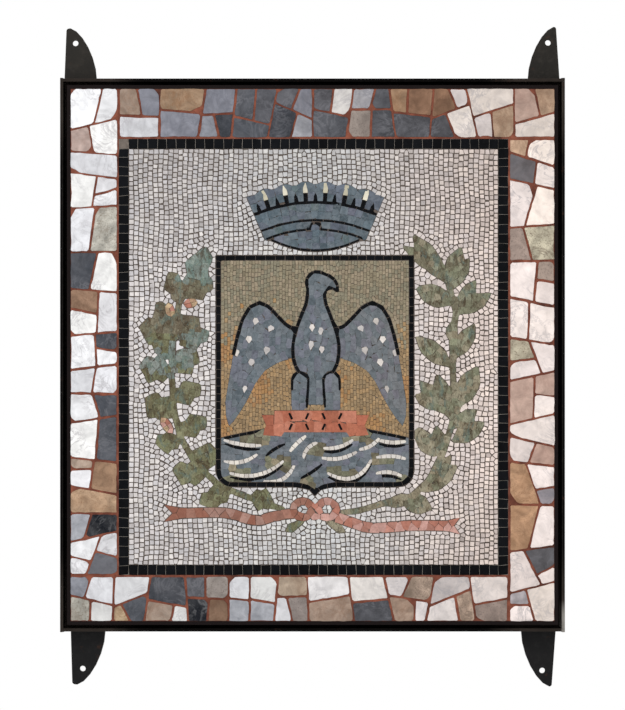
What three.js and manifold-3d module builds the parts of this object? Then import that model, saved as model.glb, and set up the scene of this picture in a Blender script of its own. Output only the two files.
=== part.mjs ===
// A mosaic wall panel: an inlaid stone picture in a border of broken marble, bedded in mortar
// inside a welded frame of steel angle, with four bolt lugs.
// Millimetres, +Z up. The face looks towards -Y, the back lies in the plane Y = 0, and the
// origin is the middle of the back.

import * as THREE from 'three';
import { mergeVertices } from 'three/addons/utils/BufferGeometryUtils.js';
import Module from 'manifold-3d';

const wasm = await Module();
wasm.setup();

// ---- Driving dimensions ------------------------------------------------------------------

const GAP = 0.3; // clearance that touching pieces keep

// Steel frame, made of angle bars
const FRAME_WIDTH = 1040;
const FRAME_HEIGHT = 1142; // the side bars run the full height
const END_PROUD = 1.5; // how far the side bars stand past the top and bottom bars
const DEPTH = 40;
const STEEL = 6;
const LEG = 40; // width of the leg that lies against the wall

// Lugs: width at the foot, height, lean of the straight edge, place of the foot, bolt hole
const HOLE_RADIUS = 6;
const LUGS = {
  lug_top_left: { side: -1, end: 1, width: 67, height: 107, lean: 4, foot: 515, hole: [23, 76] },
  lug_top_right: { side: 1, end: 1, width: 66, height: 110, lean: 7, foot: 513, hole: [24, 77] },
  lug_bottom_left: { side: -1, end: -1, width: 72, height: 113, lean: 3, foot: 502, hole: [25, 80] },
  lug_bottom_right: { side: 1, end: -1, width: 72, height: 117, lean: 8, foot: 505, hole: [28, 84] },
};

// Mosaic
const MOSAIC_WIDTH = 1000;
const MOSAIC_HEIGHT = 1100;
const MARGIN = 6; // bare mortar round the mosaic
const LINE = { left: -399, right: 403, top: 445, bottom: -453, width: 20 }; // the black line

// Border of broken marble
const STONE_PITCH = 85; // the strip is first cut across at about this pitch
const CUT_SHIFT = 17; // how far a cut may lie from its place in the row
const CUT_SLANT = 13; // how far a cut's ends may lie from its middle
const LARGEST_STONE = 5000; // square millimetres; larger ones are broken again
const SMALLEST_STONE = 400; // square millimetres; smaller splinters are left as mortar
const BREAK_SHARE = 0.38; // of the smaller stones, those that are broken again
const BREAK_ASKEW = 0.5; // radians by which a break may lean
const BREAK_TRIES = 9; // breaks to choose from; the one with the stoutest stones is kept
const CORNER_SHARE = 0.35; // of all stones, those that lose a corner
const JOINT = 4; // mortar between stones

// Depths, as Y
const FACE = -39;
const MORTAR_FACE = -38;
const BED_FACE = -34;
const AHEAD = -45; // cutters reach past the face
// An inlay's back, and the floor of the pockets cut in its face for the next level
const LEVELS = [
  { back: BED_FACE - GAP, floor: -35.3 }, // the white ground
  { back: -35.6, floor: -36.6 }, // figures on the ground
  { back: -36.9 }, // details on the figures
];

// Mural crown: arcs round one centre far below it
const CROWN = { x: 6, z: -9, top: 366, rings: [324, 287, 268], spread: 0.4, pitch: 0.12, dip: 6 };
const CROWN_LINE = 4.5;
const CROWN_BASE = { halfWidth: 91, end: 235, mid: 190 };
const WINDOW = { halfWidth: 4.2, height: 19, shoulder: 12 };
const DOOR = { halfWidth: 11, height: 13.5 };

// Shield
const SHIELD = { x: 5, top: 205, bottom: -272, halfWidth: 204, corner: 32, line: 10, cusp: 19 };
const CREST = { middle: -140, fall: 30 };

// Bird on the shield, in millimetres from its own axis
const BIRD_X = 7;
const BIRD_LINE = 7;
const BIRD = {
  flank: [[17, 126], [21, 102], [36, 66], [46, 34], [48, 0], [41, -26], [34, -36]],
  head: { x: 3, z: 149, radius: 23 },
  wingTop: [[40, 54], [64, 62], [90, 94], [116, 108], [142, 92], [158, 52], [170, 0]],
  wingSide: [[182, -70], [187, -112], [179, -146]],
  wingInner: [[168, -134], [148, -104], [131, -72], [114, -40], [84, -18], [50, -6]],
  thigh: { x: 32, halfWidth: 18, top: -34, bottom: -113 },
  tail: { halfWidth: 15, bottom: -102 },
};

// Band across the shield, with two rows of short strokes
const BAND = { x: 6, top: -115, height: 44, halfWidth: 84, tail: 26, drop: 9 };
const STROKES = { rows: 2, count: 4, pitch: 34, length: 13, width: 5, depth: 1 };

// Ribbon
const RIBBON_WIDTH = 21;
const BOW = { x: 5, z: -330, rise: 12, reach: 25, loop: 27, hole: 12, knot: 10 };

// ---- Outlines ----------------------------------------------------------------------------

// An outline is a list of [x, z] points, and a shape is outlines joined, less others cut out.
const shape = (joined, cutOut = []) => ({ joined, cutOut });

const mirrored = (outline) => outline.map(([x, z]) => [-x, z]);

const moved = (outline, dx) => outline.map(([x, z]) => [x + dx, z]);

function smooth(points, steps) {
  const curve = new THREE.SplineCurve(points.map(([x, z]) => new THREE.Vector2(x, z)));
  return curve.getPoints(steps).map((p) => [p.x, p.y]);
}

function arc(x, z, radiusX, radiusZ, from, to, steps) {
  const points = [];
  for (let i = 0; i <= steps; i++) {
    const angle = from + ((to - from) * i) / steps;
    points.push([x + radiusX * Math.cos(angle), z + radiusZ * Math.sin(angle)]);
  }
  return points;
}

function ellipse(x, z, radiusX, radiusZ, steps) {
  return arc(x, z, radiusX, radiusZ, 0, 2 * Math.PI, steps).slice(0, -1);
}

function signedArea(outline) {
  let twice = 0;
  outline.forEach(([x, z], i) => {
    const [nextX, nextZ] = outline[(i + 1) % outline.length];
    twice += x * nextZ - nextX * z;
  });
  return twice / 2;
}

// The unit normal to the right of the way from a to b
function rightOf([ax, az], [bx, bz]) {
  const length = Math.hypot(bx - ax, bz - az);
  return [(bz - az) / length, (ax - bx) / length];
}

// Moves point b of the line a, b, c to the right by a distance, with a limited mitre
function mitred(a, b, c, distance) {
  const [n1, n2] = [rightOf(a, b), rightOf(b, c)];
  const sum = [n1[0] + n2[0], n1[1] + n2[1]];
  const scale = distance / Math.max(0.35, (sum[0] ** 2 + sum[1] ** 2) / 2);
  return [b[0] + sum[0] * scale, b[1] + sum[1] * scale];
}

// An outline pushed outwards, or inwards where the distance is negative
function grown(outline, distance) {
  if (distance === 0) return outline;
  const turned = signedArea(outline) > 0 ? outline : [...outline].reverse();
  const count = turned.length;
  return turned.map((point, i) =>
    mitred(turned[(i + count - 1) % count], point, turned[(i + 1) % count], distance));
}

// The outline of a line of some width along points
function stroke(points, width) {
  const last = points.length - 1;
  const before = (i) => (i > 0 ? points[i - 1] : points[0].map((v, k) => 2 * v - points[1][k]));
  const after = (i) =>
    (i < last ? points[i + 1] : points[last].map((v, k) => 2 * v - points[last - 1][k]));
  const side = (distance) => points.map((point, i) => mitred(before(i), point, after(i), distance));
  return [...side(width / 2), ...side(-width / 2).reverse()];
}

// ---- Solids ------------------------------------------------------------------------------

function solidOf(geometry) {
  geometry.deleteAttribute('normal');
  geometry.deleteAttribute('uv');
  const merged = mergeVertices(geometry, 1e-4);
  const vertProperties = new Float32Array(merged.attributes.position.array);
  const triVerts = new Uint32Array(merged.index.array);
  return new wasm.Manifold(new wasm.Mesh({ numProp: 3, vertProperties, triVerts }));
}

const joinedSolid = (solids) => solids.reduce((all, one) => all.add(one));

function box(width, depth, height, x, y, z) {
  return solidOf(new THREE.BoxGeometry(width, depth, height).translate(x, y, z));
}

// A plate with the given outline between two depths
function plate(outline, back, front) {
  const face = new THREE.Shape(outline.map(([x, z]) => new THREE.Vector2(x, z)));
  const geometry = new THREE.ExtrudeGeometry(face, { depth: back - front, bevelEnabled: false });
  return solidOf(geometry.rotateX(Math.PI / 2).translate(0, back, 0));
}

function plateOf({ joined, cutOut }, back, front, growth = 0) {
  const whole = joinedSolid(joined.map((outline) => plate(grown(outline, growth), back, front)));
  return cutOut.reduce((left, outline) =>
    left.subtract(plate(grown(outline, -growth), back + 1, front - 1)), whole);
}

// An inlay flush with the face: pockets hold the next level, and it makes way for what is over it
function inlay(form, level, { pockets = [], over = [] } = {}) {
  let solid = plateOf(form, LEVELS[level].back, FACE);
  for (const pocket of pockets) {
    solid = solid.subtract(plateOf(pocket, LEVELS[level].floor, AHEAD, GAP));
  }
  for (const piece of over) {
    solid = solid.subtract(plateOf(piece, BED_FACE + 1, AHEAD, GAP));
  }
  return solid;
}

// ---- Materials ---------------------------------------------------------------------------

const finish = (color, roughness, metalness = 0) =>
  new THREE.MeshStandardMaterial({ color, roughness, metalness, flatShading: true });

const FINISHES = {
  steel: () => finish(0x35322f, 0.55, 0.7),
  mortar: () => finish(0x8d8378, 0.95),
  marble: () => finish(0xd8d2ca, 0.45),
  black: () => finish(0x14161a, 0.4),
  white: () => finish(0xcfcac4, 0.5),
  slate: () => finish(0x66747a, 0.5),
  cream: () => finish(0xd9d3bd, 0.5),
  ochre: () => finish(0x9a8358, 0.55),
  red: () => finish(0xb4604a, 0.55),
  green: () => finish(0x6c6f55, 0.55),
};

const panel = new THREE.Group();

function addPiece(name, solid, finishName) {
  const { vertProperties, triVerts } = solid.getMesh();
  const geometry = new THREE.BufferGeometry();
  geometry.setAttribute('position', new THREE.BufferAttribute(vertProperties, 3));
  geometry.setIndex(new THREE.BufferAttribute(triVerts, 1));
  const mesh = new THREE.Mesh(geometry, FINISHES[finishName]());
  mesh.name = name;
  panel.add(mesh);
  return mesh;
}

// ---- Frame and lugs ----------------------------------------------------------------------

const BAR_TOP = FRAME_HEIGHT / 2 - END_PROUD; // outer face of the top bar

// An angle bar along +Z: its outer leg in the plane X = 0, its back leg in the plane Y = 0.
// Where the back leg is shorter, the outer leg's ends are notched to lie on the side bars.
function angleBar(length, legLength) {
  const notch = STEEL + GAP;
  const outer = box(STEEL, DEPTH - notch, length, STEEL / 2, -(DEPTH + notch) / 2, 0);
  const root = box(STEEL, notch + 1, legLength, STEEL / 2, -(notch + 1) / 2, 0);
  const back = box(LEG - 1, STEEL, legLength, (LEG + 1) / 2, -STEEL / 2, 0);
  return outer.add(root).add(back);
}

function addFrame() {
  const side = () => angleBar(FRAME_HEIGHT, FRAME_HEIGHT);
  const across = () => angleBar(FRAME_WIDTH - 2 * (STEEL + GAP), FRAME_WIDTH - 2 * (LEG + GAP));
  const bars = [
    ['frame_left', side(), -FRAME_WIDTH / 2, 0, 0],
    ['frame_right', side(), FRAME_WIDTH / 2, 0, Math.PI],
    ['frame_top', across(), 0, BAR_TOP, Math.PI / 2],
    ['frame_bottom', across(), 0, -BAR_TOP, -Math.PI / 2],
  ];
  for (const [name, solid, x, z, turn] of bars) {
    const bar = addPiece(name, solid, 'steel');
    bar.position.set(x, 0, z);
    bar.rotation.y = turn;
  }
}

// A fin with one straight edge and one curved edge, its foot on Z = 0
function lugShape({ width, height, lean, hole }) {
  const face = new THREE.Shape();
  face.moveTo(0, 0);
  face.lineTo(width, 0);
  face.bezierCurveTo(width, 0.42 * height, 0.55 * width, 0.95 * height, 0.19 * width, height);
  face.quadraticCurveTo(lean, height, lean, height - 6);
  face.closePath();
  const bore = new THREE.Path();
  bore.absarc(hole[0], hole[1], HOLE_RADIUS, 0, 2 * Math.PI, true);
  face.holes.push(bore);
  return face;
}

function addLug(name, lug) {
  const settings = { depth: STEEL, bevelEnabled: false, curveSegments: 6 };
  const upright = new THREE.ExtrudeGeometry(lugShape(lug), settings).rotateX(Math.PI / 2);
  const mesh = new THREE.Mesh(upright, FINISHES.steel());
  const turn = new THREE.Group(); // a half turn makes the right-hand and the lower lugs
  mesh.name = name;
  if (lug.side * lug.end > 0) mesh.geometry = flippedInX(upright);
  turn.rotation.y = lug.end > 0 ? 0 : Math.PI;
  turn.position.set(lug.side * lug.foot, 0, lug.end * (FRAME_HEIGHT / 2 + GAP));
  turn.add(mesh);
  panel.add(turn);
}

// A mirror image, with its faces turned so that they still look outwards
function flippedInX(geometry) {
  const flipped = geometry.clone().scale(-1, 1, 1);
  const { array } = flipped.attributes.position;
  for (let i = 0; i < array.length; i += 9) {
    for (let k = 0; k < 3; k++) [array[i + k], array[i + 3 + k]] = [array[i + 3 + k], array[i + k]];
  }
  return flipped;
}

// ---- Mortar bed --------------------------------------------------------------------------

function addMortarBed() {
  const width = MOSAIC_WIDTH + 2 * MARGIN;
  const height = MOSAIC_HEIGHT + 2 * MARGIN;
  const front = -STEEL - GAP;
  const slab = box(width, front - BED_FACE, height, 0, (front + BED_FACE) / 2, 0);
  const windowWidth = FRAME_WIDTH - 2 * (LEG + GAP);
  const windowHeight = 2 * (BAR_TOP - LEG - GAP);
  const back = box(windowWidth, STEEL + 1, windowHeight, 0, -(STEEL + 1) / 2, 0);
  addPiece('mortar_bed', slab.add(back), 'mortar');
}

// ---- Border of broken marble -------------------------------------------------------------

// A repeatable source of numbers from 0 to 1
function randomSource(seed) {
  let state = seed;
  return () => {
    state = (Math.imul(state, 1664525) + 1013904223) >>> 0;
    return state / 4294967296;
  };
}

// A number from -reach to reach
const about = (random, reach) => (2 * random() - 1) * reach;

// What lies to the left of the line through a point in a direction, of a convex outline
function leftPart(outline, [px, pz], [dx, dz]) {
  const sideOf = ([x, z]) => dx * (z - pz) - dz * (x - px);
  const kept = [];
  outline.forEach((a, i) => {
    const b = outline[(i + 1) % outline.length];
    const [sa, sb] = [sideOf(a), sideOf(b)];
    if (sa >= 0) kept.push(a);
    if (sa * sb < 0) kept.push(a.map((v, k) => v + ((b[k] - v) * sa) / (sa - sb)));
  });
  return kept;
}

const cutInTwo = (outline, point, [dx, dz]) =>
  [leftPart(outline, point, [dx, dz]), leftPart(outline, point, [-dx, -dz])];

// A convex outline with every side moved inwards
function shrunk(outline, distance) {
  const turned = signedArea(outline) > 0 ? outline : [...outline].reverse();
  return turned.reduce((left, a, i) => {
    const b = turned[(i + 1) % turned.length];
    const [nx, nz] = rightOf(a, b);
    return leftPart(left, [a[0] - nx * distance, a[1] - nz * distance], [b[0] - a[0], b[1] - a[1]]);
  }, turned);
}

function middle(outline) {
  const sum = outline.reduce(([x, z], point) => [x + point[0], z + point[1]], [0, 0]);
  return sum.map((v) => v / outline.length);
}

// How stout a stone is: 1 for a disc, towards 0 for a splinter
function stoutness(outline) {
  const around = outline.reduce((sum, [x, z], i) => {
    const [nextX, nextZ] = outline[(i + 1) % outline.length];
    return sum + Math.hypot(nextX - x, nextZ - z);
  }, 0);
  return (4 * Math.PI * Math.abs(signedArea(outline))) / around ** 2;
}

// Breaks one stone as a hammer does, upright or level and a little askew
function broken(outline, random) {
  const [cx, cz] = middle(outline);
  const spanX = Math.max(...outline.map((p) => p[0])) - Math.min(...outline.map((p) => p[0]));
  const spanZ = Math.max(...outline.map((p) => p[1])) - Math.min(...outline.map((p) => p[1]));
  const oneBreak = () => {
    const angle = (random() < 0.5 ? Math.PI / 2 : 0) + about(random, BREAK_ASKEW);
    const point = [cx + about(random, spanX / 6), cz + about(random, spanZ / 6)];
    return cutInTwo(outline, point, [Math.cos(angle), Math.sin(angle)]);
  };
  const leastStout = (stones) => Math.min(...stones.map(stoutness));
  const breaks = Array.from({ length: BREAK_TRIES }, oneBreak);
  return breaks.reduce((best, one) => (leastStout(one) > leastStout(best) ? one : best));
}

// Knocks the sharpest corner off a stone
function withoutCorner(outline, random) {
  const at = Math.floor(random() * outline.length);
  const near = (k) => outline[(at + k + outline.length) % outline.length];
  const towards = (k, share) => near(0).map((v, i) => v + (near(k)[i] - v) * share);
  const bite = 0.14 + 0.14 * random();
  return outline.flatMap((point, i) => (i === at ? [towards(-1, bite), towards(1, bite)] : [point]));
}

// Stones that fill a rectangle along X, from slanting cuts across it and further breaks
function brokenMarble(length, width, random) {
  const count = Math.round(length / STONE_PITCH);
  const cuts = [];
  for (let i = 0; i <= count; i++) {
    const loose = i > 0 && i < count ? 1 : 0; // the two ends stay square
    const at = (i * length) / count + about(random, CUT_SHIFT) * loose;
    const slant = about(random, CUT_SLANT) * loose;
    cuts.push([at - slant, at + slant]);
  }
  const isLarge = (stone) => Math.abs(signedArea(stone)) > LARGEST_STONE;
  const stones = [];
  for (let i = 0; i < count; i++) {
    const [[a0, a1], [b0, b1]] = [cuts[i], cuts[i + 1]];
    const cell = [[a0, 0], [b0, 0], [b1, width], [a1, width]];
    for (const half of broken(cell, random)) {
      const again = isLarge(half) || random() < BREAK_SHARE;
      stones.push(...(again ? broken(half, random) : [half]));
    }
  }
  return stones.map((stone) => (random() < CORNER_SHARE ? withoutCorner(stone, random) : stone));
}

// One side of the border: stones along its length, standing a little out of their mortar
function addBorderSide(name, seed, outer, [[x0, x1], [z0, z1]]) {
  const upright = z1 - z0 > x1 - x0;
  const [length, width] = upright ? [z1 - z0, x1 - x0] : [x1 - x0, z1 - z0];
  const place = ([u, v]) => (upright ? [x1 - v, z0 + u] : [x0 + u, z0 + v]);
  const [[wx0, wx1], [wz0, wz1]] = outer;
  const web = [[wx0, wz0], [wx1, wz0], [wx1, wz1], [wx0, wz1]];
  const mortar = plate(web, LEVELS[0].back, MORTAR_FACE);
  const stones = brokenMarble(length, width, randomSource(seed))
    .map((stone) => shrunk(stone.map(place), JOINT / 2))
    .filter((stone) => stone.length > 2 && signedArea(stone) > SMALLEST_STONE)
    .map((stone) => plate(stone, MORTAR_FACE + 1, FACE));
  addPiece(name, joinedSolid([mortar, ...stones]), 'marble');
}

// The four sides follow each other round the picture, each ending against the next
function addBorder() {
  const [halfW, halfH] = [MOSAIC_WIDTH / 2, MOSAIC_HEIGHT / 2];
  const [outW, outH] = [halfW + MARGIN, halfH + MARGIN];
  const strip = 2; // mortar shown between the stones and the black line
  const inner = {
    left: LINE.left - GAP,
    right: LINE.right + GAP,
    top: LINE.top + GAP,
    bottom: LINE.bottom - GAP,
  };
  addBorderSide('marble_border_left', 11,
    [[-outW, inner.left], [inner.bottom + GAP, outH]],
    [[-halfW, inner.left - strip], [inner.bottom + GAP, halfH]]);
  addBorderSide('marble_border_top', 23,
    [[inner.left + GAP, outW], [inner.top, outH]],
    [[inner.left + GAP, halfW], [inner.top + strip, halfH]]);
  addBorderSide('marble_border_right', 37,
    [[inner.right, outW], [-outH, inner.top - GAP]],
    [[inner.right + strip, halfW], [-halfH, inner.top - GAP]]);
  addBorderSide('marble_border_bottom', 51,
    [[-outW, inner.right - GAP], [-outH, inner.bottom]],
    [[-halfW, inner.right - GAP], [-halfH, inner.bottom - strip]]);
}

// ---- Black line --------------------------------------------------------------------------

function addBlackLine() {
  const { left, right, top, bottom, width } = LINE;
  const bar = (x0, x1, z0, z1) => plate([[x0, z0], [x1, z0], [x1, z1], [x0, z1]], LEVELS[0].back, FACE);
  addPiece('black_line_left', bar(left, left + width, bottom, top), 'black');
  addPiece('black_line_right', bar(right - width, right, bottom, top), 'black');
  const [x0, x1] = [left + width + GAP, right - width - GAP];
  addPiece('black_line_top', bar(x0, x1, top - width, top), 'black');
  addPiece('black_line_bottom', bar(x0, x1, bottom, bottom + width), 'black');
}

// ---- Mural crown -------------------------------------------------------------------------

const crownPoint = (radius, angle) =>
  [CROWN.x + radius * Math.sin(angle), CROWN.z + radius * Math.cos(angle)];

function crownBaseCurve(lift) {
  const { halfWidth, end, mid } = CROWN_BASE;
  const curve = new THREE.QuadraticBezierCurve(
    new THREE.Vector2(CROWN.x - halfWidth, end + lift),
    new THREE.Vector2(CROWN.x, mid + lift),
    new THREE.Vector2(CROWN.x + halfWidth, end + lift));
  return curve.getPoints(6).map((p) => [p.x, p.y]);
}

const MERLON_ANGLES = [-2.5, -1.5, -0.5, 0.5, 1.5, 2.5].map((k) => k * CROWN.pitch);
const WINDOW_ANGLES = [-3, -2, -1, 0, 1, 2, 3].map((k) => k * CROWN.pitch);

// The top edge is flat over each merlon and hollow between two of them
function crownSilhouette() {
  const { top, dip, spread, rings } = CROWN;
  const flat = (WINDOW.halfWidth + 2) / top;
  const edge = [crownPoint(top - dip / 2, -spread)];
  for (const angle of MERLON_ANGLES) {
    edge.push(crownPoint(top - dip, angle - CROWN.pitch * 0.4));
    edge.push(crownPoint(top, angle - flat), crownPoint(top, angle + flat));
    edge.push(crownPoint(top - dip, angle + CROWN.pitch * 0.4));
  }
  edge.push(crownPoint(top - dip / 2, spread), crownPoint(rings[2] - 2, spread));
  return [...edge, ...crownBaseCurve(0).reverse(), crownPoint(rings[2] - 2, -spread)];
}

function crownArc(radius, from, to, steps) {
  const points = [];
  for (let i = 0; i <= steps; i++) points.push(crownPoint(radius, from + ((to - from) * i) / steps));
  return points;
}

// A small upright piece on a radial line of the crown
function crownPane(angle, low, profile) {
  const across = (radius, offset) => crownPoint(radius, angle + offset / radius);
  return profile.map(([offset, rise]) => across(low + rise, offset));
}

function crownLines() {
  const [r1, r2, r3] = CROWN.rings;
  const { halfWidth: w, height: h, shoulder } = WINDOW;
  const square = [[-w, 0], [-w, h], [w, h], [w, 0]];
  const pointed = [[-w, 0], [-w, shoulder], [0, h], [w, shoulder], [w, 0]];
  const upper = [
    stroke(crownArc(r1, -CROWN.spread, CROWN.spread, 6), CROWN_LINE + 1),
    ...MERLON_ANGLES.map((angle) => crownPane(angle, r1, square)),
    ...WINDOW_ANGLES.map((angle) => crownPane(angle, r1, pointed)),
  ];
  const doorAngle = DOOR.halfWidth / r3;
  const lower = [
    ...crownArc(r3, -CROWN.spread, -doorAngle, 3),
    crownPoint(r3 + DOOR.height * 0.75, -doorAngle),
    crownPoint(r3 + DOOR.height, -doorAngle * 0.6),
    crownPoint(r3 + DOOR.height, doorAngle * 0.6),
    crownPoint(r3 + DOOR.height * 0.75, doorAngle),
    ...crownArc(r3, doorAngle, CROWN.spread, 3),
  ];
  return {
    crown_windows: shape(upper),
    crown_line_middle: shape([stroke(crownArc(r2, -CROWN.spread, CROWN.spread, 6), CROWN_LINE)]),
    crown_line_door: shape([stroke(lower, CROWN_LINE)]),
    crown_line_base: shape([[...crownBaseCurve(0), ...crownBaseCurve(CROWN_LINE).reverse()]]),
  };
}

function crownMerlons() {
  const low = CROWN.rings[0] + WINDOW.height + GAP;
  const w = WINDOW.halfWidth + 0.8;
  const tall = CROWN.top - 1 - low;
  const profile = [[-w, 0], [-w, tall], [w, tall], [w, 0]];
  return MERLON_ANGLES.map((angle) => shape([crownPane(angle, low, profile)]));
}

function addCrown() {
  const lines = crownLines();
  const merlons = crownMerlons();
  const pockets = [...Object.values(lines), ...merlons];
  addPiece('crown_wall', inlay(shape([crownSilhouette()]), 1, { pockets }), 'slate');
  for (const [name, form] of Object.entries(lines)) addPiece(name, inlay(form, 2), 'black');
  merlons.forEach((form, i) => addPiece(`crown_merlon_${i + 1}`, inlay(form, 2), 'cream'));
}

// ---- Shield ------------------------------------------------------------------------------

function shieldOutline(inset) {
  const { x, top, bottom, halfWidth, corner, cusp } = SHIELD;
  const [left, right, low] = [x - halfWidth + inset, x + halfWidth - inset, bottom + inset];
  const radius = corner - inset;
  const tip = low - cusp + inset * 0.4;
  const foot = [[36, 0], [12, 6]];
  return [
    [left, top - inset],
    [right, top - inset],
    ...arc(right - radius, low + radius, radius, radius, 0, -Math.PI / 2, 4),
    ...foot.map(([dx, fall]) => [x + dx, low - fall]),
    [x, tip],
    ...[...foot].reverse().map(([dx, fall]) => [x - dx, low - fall]),
    ...arc(left + radius, low + radius, radius, radius, -Math.PI / 2, -Math.PI, 4),
  ];
}

// Height of the water's edge across the shield
function crestAt(dx) {
  const share = Math.abs(dx) / (SHIELD.halfWidth - SHIELD.line);
  return CREST.middle - CREST.fall * share ** 1.5;
}

function crestLine(from, to, steps) {
  const points = [];
  for (let i = 0; i <= steps; i++) {
    const dx = from + ((to - from) * i) / steps;
    points.push([SHIELD.x + dx, crestAt(dx)]);
  }
  return points;
}

// ---- Bird --------------------------------------------------------------------------------

const wingOutline = () =>
  [...smooth(BIRD.wingTop, 8), ...smooth(BIRD.wingSide, 3), ...smooth(BIRD.wingInner, 6)];

function thighOutline() {
  const { x, halfWidth, top, bottom } = BIRD.thigh;
  return [
    [x - halfWidth * 0.8, bottom],
    [x + halfWidth, bottom],
    ...arc(x, top - halfWidth, halfWidth, halfWidth, 0, Math.PI, 5),
  ];
}

// The beak, from the brow over the tip to the throat
function beakLine() {
  const { x, z } = BIRD.head;
  return smooth([[x + 15, z + 17], [x + 29, z + 12], [x + 40, z - 1], [x + 42, z - 18]], 4);
}

function throatLine() {
  const { x, z } = BIRD.head;
  return smooth([[x + 42, z - 18], [x + 30, z - 10], [x + 20, z - 12], [x + 14, z - 26]], 4);
}

function headOutline() {
  const { x, z, radius } = BIRD.head;
  const round = arc(x, z, radius, radius, 0.85, 2 * Math.PI - 1.2, 8);
  return [...round, ...throatLine().reverse(), ...beakLine().reverse().slice(1)];
}

function birdShapes() {
  const { flank, wingTop, tail } = BIRD;
  const right = smooth(flank, 7);
  const torso = [...right, ...mirrored(right).reverse()];
  const tailFan = [[-tail.halfWidth, -30], [tail.halfWidth, -30], [tail.halfWidth, tail.bottom],
    [-tail.halfWidth, tail.bottom]];
  const neck = [[-15, 118], [15, 118], [15, 142], [-15, 142]];
  const both = (outline) => [outline, mirrored(outline)];
  const place = (outline) => moved(outline, BIRD_X);
  const wingEdge = stroke(smooth(wingTop, 8), BIRD_LINE);
  const { x, z, radius } = BIRD.head;
  const nape = [...arc(x, z, radius, radius, 0.85, 3.75, 6), [-17, 120]];
  const head = [nape, beakLine(), throatLine()];
  const lines = [...both(stroke(right, BIRD_LINE)), ...both(wingEdge),
    ...head.map((line) => stroke(line, BIRD_LINE * 0.85))];
  const [wingRight, wingLeft] = both(wingOutline()).map(place);
  return {
    bird_outline: shape(lines.map(place)),
    bird_body: shape([torso, neck, headOutline(), tailFan, ...both(thighOutline())].map(place)),
    bird_wing_left: shape([wingLeft]),
    bird_wing_right: shape([wingRight]),
  };
}

// ---- Band --------------------------------------------------------------------------------

function bandShape() {
  const { x, top, height, halfWidth, tail, drop } = BAND;
  const low = top - height;
  const tip = halfWidth + tail;
  const hidden = halfWidth - 14; // the fold starts behind the front
  const front = [[-halfWidth, low], [halfWidth, low], [halfWidth, top], [-halfWidth, top]];
  const fold = [[hidden, low - drop], [tip, low - drop + 3], [tip - 9, low - drop + height / 2],
    [tip, top - drop], [hidden, top - drop]];
  return shape([front, fold, mirrored(fold)].map((outline) => moved(outline, x)));
}

// Rows of short slanting strokes, sunk in the band
function bandStrokes() {
  const { rows, count, pitch, length, width } = STROKES;
  const outlines = [];
  for (let row = 0; row < rows; row++) {
    const z = BAND.top - (BAND.height * (row + 0.5)) / rows;
    for (let i = 0; i < count; i++) {
      const x = BAND.x + (i - (count - 1) / 2) * pitch;
      const lean = (i + row) % 2 ? 3 : -3;
      outlines.push(stroke([[x - lean, z - length / 2], [x + lean, z + length / 2]], width));
    }
  }
  return shape(outlines);
}

function addShield() {
  const { x, line, halfWidth } = SHIELD;
  const inside = halfWidth - line;
  const band = bandShape();
  const bird = birdShapes();
  const reach = inside + 20;
  const edge = crestLine(-reach, reach, 8);
  const water = [...edge, [x + reach, -400], [x - reach, -400]];
  const sky = [...edge, [x + reach, 300], [x - reach, 300]];
  const inner = shieldOutline(line + GAP);
  const pockets = [band, ...Object.values(bird)];

  addPiece('shield_outline', inlay(shape([shieldOutline(0)], [shieldOutline(line)]), 1), 'black');
  addPiece('shield_field', inlay(shape([inner]), 1, { pockets, over: [shape([water])] }), 'ochre');
  const below = plateOf(shape([inner], [sky]), LEVELS[1].back, FACE);
  addPiece('water', pockets.reduce((left, form) =>
    left.subtract(plateOf(form, LEVELS[1].floor, AHEAD, GAP)), below), 'slate');

  const strokes = plateOf(bandStrokes(), FACE + STROKES.depth, AHEAD);
  addPiece('band', inlay(band, 2).subtract(strokes), 'red');
  const { bird_outline: outline, ...parts } = bird;
  addPiece('bird_outline', inlay(outline, 2, { over: [band] }), 'black');
  for (const [name, form] of Object.entries(parts)) {
    const over = [outline, band];
    if (name.includes('wing')) over.push(parts.bird_body);
    addPiece(name, inlay(form, 2, { over }), 'slate');
  }
}

// ---- Branches ----------------------------------------------------------------------------

// A leaf from its foot to its tip; bulge is its half width on one side, t from 0 at the foot to 1
function leafOutline([x0, z0], [x1, z1], width, steps, bulge) {
  const [nx, nz] = rightOf([x0, z0], [x1, z1]);
  const at = (t, side) => {
    const out = (side * width * bulge(t, side)) / 2;
    return [x0 + (x1 - x0) * t + nx * out, z0 + (z1 - z0) * t + nz * out];
  };
  const right = [];
  const left = [];
  for (let i = 1; i < steps; i++) {
    right.push(at(i / steps, 1));
    left.push(at(i / steps, -1));
  }
  return [[x0, z0], ...right, [x1, z1], ...left.reverse()];
}

const OAK_STEPS = 5;
const laurelBulge = (t) => Math.sin(Math.PI * t) ** 0.75;
// The lobes of an oak leaf's two sides are out of step
const oakBulge = (t, side) =>
  (0.42 + 0.62 * Math.sin(Math.PI * t)) * (1 + side * 0.25 * Math.cos(OAK_STEPS * Math.PI * t));

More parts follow.
